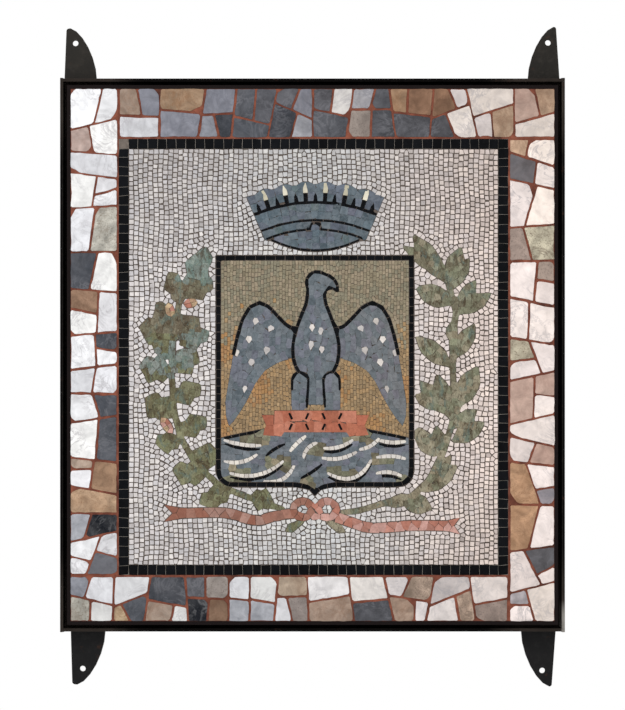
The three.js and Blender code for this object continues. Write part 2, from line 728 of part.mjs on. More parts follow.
// Each leaf: foot, tip, width
const OAK_LEAVES = [
  [[-254, 118], [-220, 226], 48], [[-262, 118], [-206, 158], 42], [[-266, 108], [-298, 172], 38],
  [[-284, 44], [-322, 110], 42], [[-286, 40], [-358, 58], 52], [[-290, 26], [-326, 6], 46],
  [[-290, 34], [-234, 80], 42], [[-276, 20], [-212, 50], 38],
  [[-290, -36], [-358, -22], 52], [[-288, -36], [-238, 10], 48],
  [[-288, -96], [-230, -60], 42], [[-288, -128], [-346, -88], 50],
  [[-272, -174], [-324, -184], 42], [[-276, -164], [-218, -128], 40],
  [[-228, -242], [-212, -180], 48], [[-222, -252], [-290, -236], 44],
  [[-170, -280], [-234, -308], 40], [[-128, -294], [-80, -302], 42],
];
const OAK_STEM = [[-42, -324], [-80, -312], [-136, -292], [-190, -270], [-240, -226], [-272, -170],
  [-286, -110], [-290, -40], [-288, 30], [-274, 112], [-258, 132]];
const ACORNS = [
  [[-266, 104], [-236, 110], 20], [[-290, 78], [-298, 108], 20], [[-312, -128], [-288, -162], 20],
];

const LAUREL_LEAVES = [
  [[276, 148], [206, 250], 42], [[262, 172], [184, 226], 30],
  [[276, 140], [307, 224], 40], [[284, 132], [324, 202], 30],
  [[290, 104], [212, 140], 46], [[296, 92], [338, 156], 30], [[298, 84], [370, 128], 34],
  [[286, 26], [288, 70], 26], [[290, -10], [336, 66], 36], [[288, -26], [210, 40], 40],
  [[296, -110], [342, -22], 48], [[278, -124], [220, -52], 38], [[266, -112], [209, -80], 30],
  [[276, -108], [256, -38], 34], [[288, -150], [340, -112], 32], [[286, -180], [356, -138], 40],
  [[254, -212], [211, -146], 38], [[262, -212], [256, -144], 32],
  [[236, -276], [288, -204], 30], [[226, -284], [300, -226], 38],
  [[208, -290], [150, -310], 28], [[180, -294], [248, -318], 44], [[292, -140], [276, -60], 44],
];
const LAUREL_STEM = [[50, -327], [100, -320], [150, -304], [204, -292], [240, -258], [270, -200],
  [288, -140], [290, -60], [288, 20], [296, 90], [280, 144]];
const STEM_WIDTH = 11;

function leavesOf(list, steps, bulge) {
  return list.map(([foot, tip, width]) => leafOutline(foot, tip, width, steps, bulge));
}

function cutStem(from, to) {
  return leafOutline(from, to, 22, 4, (t) => 0.35 + 0.65 * t);
}

// ---- Ribbon ------------------------------------------------------------------------------

function ribbonEnd(points, tipOut) {
  const line = smooth(points, 10);
  const band = stroke(line, RIBBON_WIDTH);
  const [x, z] = line[line.length - 1];
  const way = Math.sign(x - line[0][0]);
  const half = RIBBON_WIDTH / 2;
  const tail = [[x - way * 4, z + half], [x + way * tipOut, z + half + 7], [x + way * tipOut * 0.45, z],
    [x + way * tipOut, z - half - 7], [x - way * 4, z - half]];
  return shape([band, tail]);
}

function ribbonShapes() {
  const { x, z, rise, reach, loop, hole, knot } = BOW;
  const loopAt = (side) => [x + side * reach, z + rise];
  const rings = [-1, 1].map((side) => ellipse(...loopAt(side), loop, loop - 2, 12));
  const holes = [-1, 1].map((side) => ellipse(...loopAt(side), hole, hole - 2, 6));
  const knotOutline = ellipse(x, z, knot, knot + 2, 6);
  const left = [[-36, -326], [-80, -332], [-112, -342], [-146, -334], [-178, -325], [-230, -325],
    [-274, -326]];
  const right = [[48, -334], [76, -343], [104, -354], [132, -357], [168, -354], [210, -351],
    [264, -352], [282, -352]];
  return {
    ribbon_bow: shape([...rings, knotOutline], holes),
    ribbon_left: ribbonEnd(left, 32),
    ribbon_right: ribbonEnd(right, 22),
  };
}

// ---- Assembly ----------------------------------------------------------------------------

function addBranchesAndRibbon() {
  const ribbon = ribbonShapes();
  const { ribbon_bow: bow, ribbon_left: left, ribbon_right: right } = ribbon;
  const shield = shape([shieldOutline(0)]);
  const acorns = leavesOf(ACORNS, 5, (t) => Math.sin(Math.PI * (0.12 + 0.8 * t)) ** 0.6);
  const stem = (points) => stroke(smooth(points, 10), STEM_WIDTH);
  const oak = shape([...leavesOf(OAK_LEAVES, OAK_STEPS, oakBulge), stem(OAK_STEM)]);
  const laurel = shape([...leavesOf(LAUREL_LEAVES, 3, laurelBulge), stem(LAUREL_STEM)]);
  const ends = {
    stem_end_left: shape([cutStem([-14, -338], [-56, -364])]),
    stem_end_right: shape([cutStem([24, -338], [68, -366])]),
  };

  addPiece('ribbon_bow', inlay(bow, 1), 'red');
  addPiece('ribbon_left', inlay(left, 1, { over: [bow] }), 'red');
  addPiece('ribbon_right', inlay(right, 1, { over: [bow] }), 'red');
  addPiece('oak_branch', inlay(oak, 1, { over: [bow, left, shield, shape(acorns)] }), 'green');
  addPiece('laurel_branch', inlay(laurel, 1, { over: [bow, right, shield] }), 'green');
  acorns.forEach((outline, i) => addPiece(`acorn_${i + 1}`, inlay(shape([outline]), 1), 'red'));
  for (const [name, form] of Object.entries(ends)) {
    addPiece(name, inlay(form, 1, { over: [bow, left, right] }), 'green');
  }
  return [bow, left, right, shape(acorns), oak, laurel, ...Object.values(ends)];
}

function addGround(figures) {
  const { left, right, top, bottom, width } = LINE;
  const edge = width + GAP;
  const [x0, x1, z0, z1] = [left + edge, right - edge, bottom + edge, top - edge];
  const field = [[x0, z0], [x1, z0], [x1, z1], [x0, z1]];
  addPiece('white_ground', inlay(shape([field]), 0, { pockets: figures }), 'white');
}

addFrame();
for (const [name, lug] of Object.entries(LUGS)) addLug(name, lug);
addMortarBed();
addBorder();
addBlackLine();
addCrown();
addShield();
const branches = addBranchesAndRibbon();
addGround([shape([crownSilhouette()]), shape([shieldOutline(0)]), ...branches]);

export default panel;
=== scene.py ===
"""Looks of the mosaic wall panel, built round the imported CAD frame.

The CAD's inlays give the outline of each figure. Here each figure is filled with single tesserae,
the border with broken marble, and the steel gets its welds and wear. Metres, with the face
towards -Y and +Z up.
"""

import math

import bmesh
import bpy
import numpy as np
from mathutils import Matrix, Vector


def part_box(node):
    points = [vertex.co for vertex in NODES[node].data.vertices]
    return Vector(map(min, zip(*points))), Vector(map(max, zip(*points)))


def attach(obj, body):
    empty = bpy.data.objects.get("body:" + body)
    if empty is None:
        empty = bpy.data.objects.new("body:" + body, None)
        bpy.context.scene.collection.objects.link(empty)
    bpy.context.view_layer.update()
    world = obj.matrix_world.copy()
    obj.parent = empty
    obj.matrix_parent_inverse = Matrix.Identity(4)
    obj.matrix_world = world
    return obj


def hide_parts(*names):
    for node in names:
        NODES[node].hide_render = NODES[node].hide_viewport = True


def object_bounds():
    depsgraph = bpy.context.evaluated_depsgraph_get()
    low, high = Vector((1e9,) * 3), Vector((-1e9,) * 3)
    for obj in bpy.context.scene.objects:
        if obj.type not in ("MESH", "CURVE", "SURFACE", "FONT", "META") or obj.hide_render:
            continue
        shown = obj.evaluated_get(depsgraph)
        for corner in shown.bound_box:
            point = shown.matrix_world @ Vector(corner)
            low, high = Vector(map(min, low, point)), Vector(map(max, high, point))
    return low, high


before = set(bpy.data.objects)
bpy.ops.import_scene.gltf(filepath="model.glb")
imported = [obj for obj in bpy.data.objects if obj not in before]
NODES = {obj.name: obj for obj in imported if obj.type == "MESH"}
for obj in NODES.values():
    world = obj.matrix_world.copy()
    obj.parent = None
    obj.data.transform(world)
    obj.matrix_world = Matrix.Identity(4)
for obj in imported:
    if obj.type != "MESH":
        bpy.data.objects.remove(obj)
cad_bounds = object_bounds()

# ---- Driving dimensions, in metres ----

MM = 0.001
FACE, BED = (corner.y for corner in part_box("white_ground"))  # of the inlays
MORTAR_DEPTH = 1.0 * MM  # the mortar's surface lies this far behind the tesserae
TILE_FOOT = FACE + 1.6 * MM  # the stones end in the mortar here
MOST_PROUD = 0.9 * MM  # no stone stands further out of the face
CELL = 0.5 * MM  # the grid on which tesserae are laid out
STEEL = 6 * MM  # thickness of the angle bars

BLACK_LINES = ["black_line_left", "black_line_right", "black_line_top", "black_line_bottom"]
BORDER_SIDES = ["left", "top", "right", "bottom"]
MERLONS = [f"crown_merlon_{i}" for i in range(1, 7)]
ACORNS = [f"acorn_{i}" for i in range(1, 4)]
CROWN_LINES = ["crown_windows", "crown_line_middle", "crown_line_door", "crown_line_base"]
WINGS = ["bird_wing_left", "bird_wing_right"]


def span(nodes):
    """The lowest and highest x and z over some CAD nodes"""
    boxes = [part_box(name) for name in nodes]
    low = [min(b[0][k] for b in boxes) for k in (0, 2)]
    high = [max(b[1][k] for b in boxes) for k in (0, 2)]
    return np.array(low), np.array(high)


# ---- Grid ----

GRID_LOW, GRID_HIGH = span(BLACK_LINES)
COLUMNS, ROWS = np.ceil((GRID_HIGH - GRID_LOW) / CELL).astype(int)
CELL_X = GRID_LOW[0] + (np.arange(COLUMNS) + 0.5) * CELL
CELL_Z = GRID_LOW[1] + (np.arange(ROWS) + 0.5) * CELL


def outline_edges(node, depth=FACE):
    """The outlines of a node's faces at one depth: the edges (x, z) that belong to one triangle
    only, each as its start and its end"""
    mesh = NODES[node].data
    mesh.calc_loop_triangles()
    points = np.array([v.co for v in mesh.vertices], float)
    corners = points[np.array([t.vertices for t in mesh.loop_triangles])]
    at_depth = (np.abs(corners[:, :, 1] - depth) < 0.01 * MM).all(axis=1)
    triangles = corners[at_depth][:, :, [0, 2]]
    starts = triangles.reshape(-1, 2)
    ends = np.roll(triangles, -1, axis=1).reshape(-1, 2)
    keys = [np.round(p * 1e6).astype(np.int64) @ [1, 10_000_019] for p in (starts, ends)]
    pairs = np.sort(np.stack(keys, axis=1), axis=1)
    _, first, count = np.unique(pairs, axis=0, return_index=True, return_counts=True)
    single = first[count == 1]
    return np.stack([starts[single], ends[single]], axis=1)


def loops_of(edges):
    """Closed outlines, from edges that each start where another ends"""
    def key(point):
        return tuple(np.round(point * 1e5).astype(int))

    following = {key(start): (start, key(end)) for start, end in edges}
    loops = []
    while following:
        at = next(iter(following))
        loop = []
        while at in following:
            point, at = following.pop(at)
            loop.append(point)
        loops.append(np.array(loop))
    return loops


def inside(edges):
    """The grid cells whose middles lie within closed outlines"""
    crossings = np.zeros((ROWS, COLUMNS + 1), np.int32)
    for (x0, z0), (x1, z1) in edges:
        first = max(0, math.ceil((min(z0, z1) - GRID_LOW[1]) / CELL - 0.5))
        last = min(ROWS, math.ceil((max(z0, z1) - GRID_LOW[1]) / CELL - 0.5))
        if last <= first:
            continue
        rows = np.arange(first, last)
        x = x0 + (x1 - x0) * (CELL_Z[rows] - z0) / (z1 - z0)
        columns = np.clip(np.ceil((x - GRID_LOW[0]) / CELL - 0.5).astype(int), 0, COLUMNS)
        np.add.at(crossings, (rows, columns), 1)
    return np.cumsum(crossings[:, :-1], axis=1) % 2 == 1


def window(x, z, reach):
    """The part of the grid round a place, and how far its cells lie across and above that"""
    column, row = ((np.array([x, z]) - GRID_LOW) / CELL).astype(int)
    rows = slice(max(0, row - reach), row + reach)
    columns = slice(max(0, column - reach), column + reach)
    return (rows, columns), (CELL_X[columns] - x)[None, :], (CELL_Z[rows] - z)[:, None]


def near_line(points, widths):
    """The grid cells within a line whose width changes from point to point"""
    found = np.zeros((ROWS, COLUMNS), bool)
    for (x, z), width in zip(points, widths):
        part, dx, dz = window(x, z, int(width / CELL) + 2)
        found[part] |= np.hypot(dx, dz) < width / 2
    return found


# ---- Laying tesserae ----

ROUNDS = 9  # how often the tesserae settle
BATCH = 400  # points handled at a time
COLUMN_SHARES = (0.94, 1.06)  # widths of the columns, in pitches
ROW_SHARES = (0.78, 1.24)  # heights of the tesserae in them, in pitches
WAVE = 0.18  # how far a column sways, in pitches
MOST_TRIES = 6000  # places tried in a narrow region
LEAST_CELLS = 12  # smaller tesserae are left out
MOST_CORNERS = 5
CORNER_LOSS = 0.05  # a fifth corner is cut where that takes less than this share of a stone
SMALLEST_TESSERA = 6 * MM**2
LEAST_SHARE = 0.3  # places with less than this share of a full tessera are dropped
RECTANGLE_REACH = 1.25  # in pitches: no tessera is larger


def rows_angle(points, edges, follow):
    """Angle of the rows at each point: along the outlines near it, and upright further off.

    Rows look the same after a quarter turn, so angles are averaged as four times themselves.
    """
    start, along = edges[:, 0], edges[:, 1] - edges[:, 0]
    length = np.hypot(*along.T)
    quarter = np.exp(4j * np.arctan2(along[:, 1], along[:, 0]))
    angles = np.empty(len(points))
    for first in range(0, len(points), BATCH):
        part = slice(first, first + BATCH)
        away = points[part][:, None, :] - start[None]
        share = np.clip((away * along).sum(axis=2) / length**2, 0, 1)
        distance = np.linalg.norm(away - share[:, :, None] * along, axis=2)
        weight = np.minimum(length, distance + 2 * MM) / (distance + 1.5 * MM) ** 3
        vote = (weight * quarter).sum(axis=1) / weight.sum(axis=1)
        hold = np.clip(1.5 - distance.min(axis=1) / follow, 0, 1)
        angles[part] = np.angle(vote * hold + (1 - hold)) / 4
    return angles


def staggered_columns(mask, pitch, rng):
    """Places for tesserae in slightly wavy upright columns whose joints don't line up"""
    columns, rows = np.flatnonzero(mask.any(axis=0)), np.flatnonzero(mask.any(axis=1))
    places = []
    x = CELL_X[columns[0]] + pitch[0] * 0.5
    while x < CELL_X[columns[-1]]:
        z = CELL_Z[rows[0]] + pitch[1] * rng.random()
        while z < CELL_Z[rows[-1]]:
            sway = WAVE * math.sin(38 * z + 9 * x) + rng.normal(0, 0.07)
            places.append([x + sway * pitch[0], z])
            z += pitch[1] * rng.uniform(*ROW_SHARES)
        x += pitch[0] * rng.uniform(*COLUMN_SHARES)
    return kept_inside(np.array(places), mask)


def kept_inside(places, mask):
    columns, rows = ((places - GRID_LOW) / CELL).astype(int).T
    within = (columns >= 0) & (columns < COLUMNS) & (rows >= 0) & (rows < ROWS)
    places, columns, rows = places[within], columns[within], rows[within]
    return places[mask[rows, columns]]


def scattered(mask, spacing, rng):
    """Places in a narrow region, none closer than the spacing"""
    rows, columns = np.nonzero(mask)
    places = np.empty((0, 2))
    for i in rng.permutation(len(rows))[:MOST_TRIES]:
        place = np.array([CELL_X[columns[i]], CELL_Z[rows[i]]])
        if len(places) == 0 or np.hypot(*(places - place).T).min() > spacing:
            places = np.vstack([places, place])
    return places


def lengths_along(points):
    """How far each point lies along the line through them"""
    return np.concatenate([[0], np.cumsum(np.hypot(*np.diff(points, axis=0).T))])


def places_at(points, at):
    """The places at some distances along the line through some points"""
    lengths = lengths_along(points)
    return np.stack([np.interp(at, lengths, points[:, k]) for k in (0, 1)], axis=1)


def along_line(points, spacing):
    """Places at even distances along a line"""
    whole = lengths_along(points)[-1]
    count = max(1, round(whole / spacing))
    return places_at(points, (np.arange(count) + 0.5) * whole / count)


def nearest_place(mask, places, angles, pitch):
    """For each cell of the mask, the place whose turned rectangle reaches it first"""
    best = np.full(mask.shape, np.inf, np.float32)
    owner = np.full(mask.shape, -1, np.int32)
    reach = int(RECTANGLE_REACH * max(pitch) / CELL) + 2
    for i, ((x, z), angle) in enumerate(zip(places, angles)):
        part, dx, dz = window(x, z, reach)
        cos, sin = math.cos(angle), math.sin(angle)
        far = np.maximum(np.abs(dx * cos + dz * sin) / pitch[0],
                         np.abs(dz * cos - dx * sin) / pitch[1])
        closer = far < best[part]
        best[part][closer] = far[closer]
        owner[part][closer] = i
    owner[~mask] = -1
    return owner


def lay(mask, edges, places, pitch, follow):
    """Lets places settle until each is in the middle of its own share of the mask.

    Gives each tessera's angle and grid cells.
    """
    for turn in range(ROUNDS + 1):
        angles = rows_angle(places, edges, follow)
        owner = nearest_place(mask, places, angles, pitch)
        rows, columns = np.nonzero(owner >= 0)
        owners = owner[rows, columns]
        count = np.bincount(owners, minlength=len(places))
        if turn == ROUNDS:
            break
        x = np.bincount(owners, CELL_X[columns], len(places)) / np.maximum(count, 1)
        z = np.bincount(owners, CELL_Z[rows], len(places)) / np.maximum(count, 1)
        smallest = LEAST_SHARE * min(pitch[0] * pitch[1] / CELL**2, np.median(count))
        places = np.stack([x, z], axis=1)[count > smallest]
    order = np.argsort(owners, kind="stable")
    cells = np.stack([CELL_X[columns[order]], CELL_Z[rows[order]]], axis=1)
    shares = np.split(cells, np.cumsum(count)[:-1])
    return [(angle, share) for angle, share in zip(angles, shares) if len(share) > LEAST_CELLS]


def largest_part(cells):
    """Of a tessera's cells, those that hang together with its middle"""
    keys = {(round(x / CELL), round(z / CELL)): i for i, (x, z) in enumerate(cells)}
    start = np.argmin(np.hypot(*(cells - cells.mean(axis=0)).T))
    start = (round(cells[start][0] / CELL), round(cells[start][1] / CELL))
    found, edge = {start}, [start]
    while edge:
        x, z = edge.pop()
        for step in ((x + 1, z), (x - 1, z), (x, z + 1), (x, z - 1)):
            if step in keys and step not in found:
                found.add(step)
                edge.append(step)
    return cells[[keys[key] for key in sorted(found)]]


def area_of(corners):
    x, z = np.asarray(corners).T
    return 0.5 * float(np.dot(x, np.roll(z, -1)) - np.dot(z, np.roll(x, -1)))


def hull_corners(cells, angle):
    """The corners of a stone that covers its cells: few, and in order round it"""
    ways = angle + np.arange(16) * math.pi / 8 + math.pi / 16
    picks = np.argmax(cells @ np.array([np.cos(ways), np.sin(ways)]), axis=0)
    corners = [tuple(cells[i]) for k, i in enumerate(picks) if i != picks[k - 1]]
    whole = abs(area_of(corners)) if len(corners) > 2 else 0
    while len(corners) > 3:
        losses = []
        for i, (x, z) in enumerate(corners):
            (ax, az), (bx, bz) = corners[i - 1], corners[(i + 1) % len(corners)]
            losses.append(abs((x - ax) * (bz - az) - (z - az) * (bx - ax)) / 2)
        least = min(losses)
        if len(corners) <= 4 or len(corners) <= MOST_CORNERS and least > CORNER_LOSS * whole:
            break
        corners.pop(losses.index(least))
    return np.array(corners)


def inset(corners, distance):
    """A convex outline with its sides moved inwards"""
    into, out = corners - np.roll(corners, 1, axis=0), np.roll(corners, -1, axis=0) - corners
    into, out = (way / np.maximum(np.hypot(*way.T), 1e-9)[:, None] for way in (into, out))
    normal = np.stack([-into[:, 1] - out[:, 1], into[:, 0] + out[:, 0]], axis=1)
    square = np.maximum((normal**2).sum(axis=1), 0.5)
    return corners + normal * (2 * distance / square)[:, None]


# ---- Stones ----


def srgb(red, green, blue):
    """A linear colour from everyday values of 0 to 255"""
    values = np.array([red, green, blue]) / 255
    return np.where(values > 0.04045, ((values + 0.055) / 1.055) ** 2.4, values / 12.92)


BRIGHTNESS = 0.8  # leaves room for the key light


def paint(colour, brightness=BRIGHTNESS):
    """A colour as the shaders take it"""
    return (*(srgb(*colour) * brightness), 1)


# Each stone: colours it comes in, colour of its veins, then how strong its veins, clouds and
# specks are
KINDS = {
    "white": ([(222, 217, 215), (216, 213, 213), (228, 223, 219), (206, 201, 199)],
              (150, 146, 146), 0.12, 0.25, 0.10),
    "black": ([(9, 11, 15), (12, 14, 18), (6, 7, 10)], (44, 46, 50), 0.10, 0.20, 0.05),
    "slate": ([(104, 113, 119), (98, 108, 115), (114, 121, 127), (112, 115, 126)],
              (146, 152, 158), 0.45, 0.60, 0.12),
    "cream": ([(222, 216, 196), (210, 204, 180)], (170, 160, 130), 0.15, 0.30, 0.10),
    "khaki": ([(158, 147, 124), (166, 152, 130), (148, 142, 122)], (112, 98, 74), 0.3, 0.5, 0.3),
    "ochre": ([(172, 146, 112), (162, 139, 108), (180, 150, 112)], (124, 94, 60), 0.3, 0.5, 0.3),
    "orange": ([(184, 143, 98), (178, 138, 98)], (134, 92, 54), 0.3, 0.5, 0.3),
    "red": ([(190, 122, 98), (180, 112, 90), (198, 134, 112)], (150, 80, 60), 0.25, 0.4, 0.15),
    "salmon": ([(196, 142, 126), (186, 126, 108), (208, 164, 152)], (160, 96, 78), 0.3, 0.4, 0.15),
    "olive": ([(130, 130, 108), (120, 118, 98), (138, 136, 116), (114, 108, 90)],
              (76, 70, 54), 0.5, 0.8, 0.4),
    "sage": ([(128, 142, 136), (118, 134, 126), (140, 150, 144)], (80, 84, 74), 0.5, 0.8, 0.4),
    "sand": ([(158, 150, 128), (148, 138, 116)], (100, 88, 66), 0.4, 0.7, 0.4),
    "carrara": ([(252, 249, 249), (246, 243, 245), (254, 250, 246), (240, 236, 237)],
                (172, 168, 172), 0.65, 0.36, 0.06),
    "bardiglio": ([(172, 172, 180), (152, 151, 160), (188, 187, 192)],
                  (116, 118, 128), 0.6, 0.6, 0.10),
    "dark_slate": ([(88, 90, 96), (72, 74, 80), (104, 103, 108)], (134, 134, 140), 0.5, 0.6, 0.15),
    "pink": ([(206, 184, 174), (196, 172, 162), (216, 196, 188)], (164, 130, 118), 0.45, 0.6, 0.2),
    "beige": ([(206, 184, 162), (196, 172, 150), (184, 162, 146)], (140, 108, 86), 0.5, 0.7, 0.3),
    "siena": ([(198, 172, 140), (186, 154, 126), (208, 184, 148)], (142, 104, 74), 0.6, 0.8, 0.5),
    "tawny": ([(168, 134, 108), (156, 124, 102)], (110, 80, 62), 0.5, 0.7, 0.4),
    "breccia": ([(196, 196, 178), (192, 186, 174), (202, 182, 166)], (120, 104, 90), 0.7, 1.0, 0.8),
    "granite": ([(176, 164, 156), (164, 152, 146)], (116, 104, 98), 0.3, 0.6, 0.7),
    "black_veined": ([(34, 36, 42), (26, 28, 34)], (150, 150, 152), 0.5, 0.3, 0.1),
}


def values_of(look, rng):
    """One stone's colours and markings, from its kind, a tint and how much its tone varies"""
    kind, tint, spread = look
    bases, vein, veins, clouds, specks = KINDS[kind]
    base = srgb(*bases[rng.integers(len(bases))]) * BRIGHTNESS
    base = base * np.array(tint) * (1 + rng.normal(0, spread))
    return {
        "base": (*np.clip(base, 0, 1), 1),
        "vein": paint(vein),
        "traits": (veins, clouds, specks, 1),
        "chance": (*rng.uniform(-5, 5, 3), 1),
    }


def new_mesh(name, points, faces, material):
    mesh = bpy.data.meshes.new(name)
    mesh.from_pydata(points, [], faces)
    mesh.materials.append(material)
    return mesh


def linked(name, data):
    """A new object in the scene"""
    item = bpy.data.objects.new(name, data)
    bpy.context.scene.collection.objects.link(item)
    return item


def add_piece(mesh, nodes=()):
    piece = linked(mesh.name, mesh)
    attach(piece, "root")
    if nodes:
        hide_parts(*nodes)


class Stones:
    """Stones with bevelled edges, gathered into one mesh"""

    def __init__(self):
        self.points, self.faces = [], []
        self.values = {"base": [], "vein": [], "traits": [], "chance": []}

    def add(self, corners, look, rng, bevel=0.45 * MM, uneven=0.12 * MM, proud=0.0):
        """One stone with its outline's corners in order"""
        count = len(corners)
        own = values_of(look, rng)
        if area_of(corners) < 0:
            corners = corners[::-1]
        middle = corners.mean(axis=0)
        height = rng.normal(0, uneven) - proud
        reach = np.hypot(*(corners - middle).T).max()
        tilt = rng.normal(0, 0.6 * uneven / reach, 2)
        lift = np.maximum(height + (corners - middle) @ tilt, -MOST_PROUD)
        top = inset(corners, bevel)
        first = len(self.points)
        self.points += [(x, FACE + up, z) for (x, z), up in zip(top, lift)]
        self.points += [(x, FACE + up + bevel, z) for (x, z), up in zip(corners, lift)]
        self.points += [(x, TILE_FOOT, z) for x, z in corners]
        self.faces.append([first + i for i in range(count)])
        for ring in (0, count):
            for i in range(count):
                j = (i + 1) % count
                a, b = first + ring + i, first + ring + j
                self.faces.append([b, a, a + count, b + count])
        for name, values in self.values.items():
            values += own[name] * (3 * count)

    def add_to_scene(self, name, nodes, material):
        mesh = new_mesh(name, self.points, self.faces, material)
        for key, values in self.values.items():
            attribute = mesh.attributes.new(key, "FLOAT_COLOR", "POINT")
            attribute.data.foreach_set("color", values)
        add_piece(mesh, nodes)


LARGE = 1.25  # a stone this many times larger than its cells is cut from the main part of them
STILL_LARGE, MOST_SHRUNK = 1.2, 1.6  # and shrunk where it is still this much larger


def add_tesserae(stones, laid, joint, look, rng, proud):
    """Cuts a stone for each laid tessera and leaves half a joint round it.

    Below zero the joint is closed: neighbours meet without mortar between them. The look is
    one for all, or a function that gives it for each place.
    """
    for angle, cells in laid:
        corners = hull_corners(cells, angle)
        if len(corners) < 3:
            continue
        if area_of(corners) > LARGE * len(cells) * CELL**2:
            cells = largest_part(cells)
            corners = hull_corners(cells, angle)
            if len(corners) < 3:
                continue
            spare = abs(area_of(corners)) / (len(cells) * CELL**2)
            if spare > STILL_LARGE:
                middle = cells.mean(axis=0)
                corners = middle + (corners - middle) / math.sqrt(min(spare, MOST_SHRUNK))
        corners = inset(corners, joint / 2 - CELL / 2)
        if area_of(corners) < SMALLEST_TESSERA:
            continue
        corners = corners + rng.normal(0, 0.05 * MM + 0.12 * max(joint, 0), corners.shape)
        own = look(*corners.mean(axis=0), rng) if callable(look) else look
        stones.add(corners, own, rng, proud=proud)


# ---- Regions ----

NOT_PICTURE = ("frame_", "lug_", "mortar_", "marble_", "black_line_")
LEAF_ROUNDING = 2.5 * MM

EDGES = {node: outline_edges(node) for node in NODES if not node.startswith(NOT_PICTURE)}
MASKS = {node: inside(edges) for node, edges in EDGES.items()}
LINES = {}  # the middle lines of the regions that are drawn here
STROKES = outline_edges("band", FACE + MORTAR_DEPTH)
MASKS["band"] |= inside(STROKES)  # the strokes lie over the band's own pieces


def claim(name, mask, *owners):
    """Gives a new region the cells that it covers of its owners' regions"""
    MASKS[name] = mask & np.any([MASKS[owner] for owner in owners], axis=0)
    for owner in owners:
        MASKS[owner] = MASKS[owner] & ~mask


def blurred(mask, reach):
    """The share of each cell's surroundings that a mask covers"""
    share = mask.astype(np.float32)
    for axis in (0, 1, 0, 1):
        total = np.cumsum(share, axis=axis)
        share = np.roll(total, -reach, axis=axis) - np.roll(total, reach + 1, axis=axis)
        share /= 2 * reach + 1
    return share


# Rounds the leaves' corners, giving and taking cells of the ground
for branch in ("oak_branch", "laurel_branch"):
    both = MASKS[branch] | MASKS["white_ground"]
    MASKS[branch] = (blurred(MASKS[branch], round(LEAF_ROUNDING / CELL)) > 0.5) & both
    MASKS["white_ground"] = both & ~MASKS[branch]


CURVE_STEPS = 60


def curve(start, end, bulge):
    """Points of a bow from start to end; bulge is its height as a share of its length"""
    t = np.linspace(0, 1, CURVE_STEPS)[:, None]
    way = end - start
    side = np.array([-way[1], way[0]])
    return start + way * t + side * (4 * bulge * t * (1 - t))


def tapered(width, ends):
    """Widths of a curve that narrows towards both ends, to a share of its width"""
    t = np.linspace(0, 1, CURVE_STEPS)
    return width * (ends + (1 - ends) * np.minimum(1, 4 * np.minimum(t, 1 - t)))


def draw_line(name, points, widths, *owners):
    """A line of tesserae along points, taken from the regions that it crosses"""
    lengths = lengths_along(points)
    at = np.arange(0, lengths[-1], CELL)
    claim(name, near_line(places_at(points, at), np.interp(at, lengths, widths)), *owners)
    EDGES[name] = np.stack([points[:-1], points[1:]], axis=1)
    LINES[name] = points


# Water: streaks in shares of its width and depth, from start to end, with a bulge. Each is a
# line of white tesserae with a black one under it, or one of the two alone.
WATER_LOW, WATER_HIGH = span(["water"])
STREAKS = [
    ((0.02, 0.74), (0.21, 0.66), -0.05, "both"),
    ((0.24, 0.50), (0.34, 0.68), 0.06, "black"),
    ((0.02, 0.42), (0.19, 0.52), -0.12, "white"),
    ((0.05, 0.24), (0.33, 0.42), -0.14, "both"),
    ((0.23, 0.12), (0.39, 0.36), -0.20, "white"),
    ((0.37, 0.58), (0.45, 0.80), 0.04, "white"),
    ((0.44, 0.48), (0.51, 0.70), 0.16, "white"),
    ((0.42, 0.16), (0.54, 0.38), -0.04, "black"),
    ((0.55, 0.62), (0.70, 0.74), -0.10, "both"),
    ((0.54, 0.47), (0.72, 0.56), -0.10, "white"),
    ((0.57, 0.24), (0.80, 0.44), -0.26, "both"),
    ((0.74, 0.60), (0.84, 0.76), -0.10, "white"),
    ((0.84, 0.74), (0.98, 0.72), -0.06, "both"),
    ((0.83, 0.48), (0.98, 0.46), 0.07, "white"),
    ((0.83, 0.24), (0.96, 0.20), 0.10, "both"),
]
WAVE_WIDTH = 9 * MM


def in_water(share):
    """A place in the water from shares of its width and of its depth at the middle"""
    return WATER_LOW + (WATER_HIGH - WATER_LOW) * np.array(share)


WHITE_STREAKS, BLACK_STREAKS = [], []
for i, (start, end, bulge, kind) in enumerate(STREAKS):
    points = curve(in_water(start), in_water(end), bulge)
    if kind != "black":
        WHITE_STREAKS.append(f"white_streak_{i}")
        draw_line(WHITE_STREAKS[-1], points, tapered(WAVE_WIDTH, 0.7), "water")
    if kind != "white":
        BLACK_STREAKS.append(f"black_streak_{i}")
        drop = 0.85 * WAVE_WIDTH if kind == "both" else 0
        draw_line(BLACK_STREAKS[-1], points - (0, drop), tapered(0.8 * WAVE_WIDTH, 0.55), "water")

# Crest lines of the water, at both sides of the band
CREST_WIDTH = 6 * MM
CREST_REACH = (0.57, 0.97)  # from and to, in half widths of the shield
shield_middle = (WATER_LOW[0] + WATER_HIGH[0]) / 2
half_width = (WATER_HIGH[0] - WATER_LOW[0]) / 2
crest = np.zeros((ROWS, COLUMNS), bool)
for column in np.flatnonzero(MASKS["water"].any(axis=0)):
    away = abs(CELL_X[column] - shield_middle) / half_width
    if CREST_REACH[0] < away < CREST_REACH[1]:
        top = np.flatnonzero(MASKS["water"][:, column])[-1]
        crest[top - int(CREST_WIDTH / CELL):top + 1, column] = True
claim("crest", crest, "water")
EDGES["crest"] = EDGES["water"]

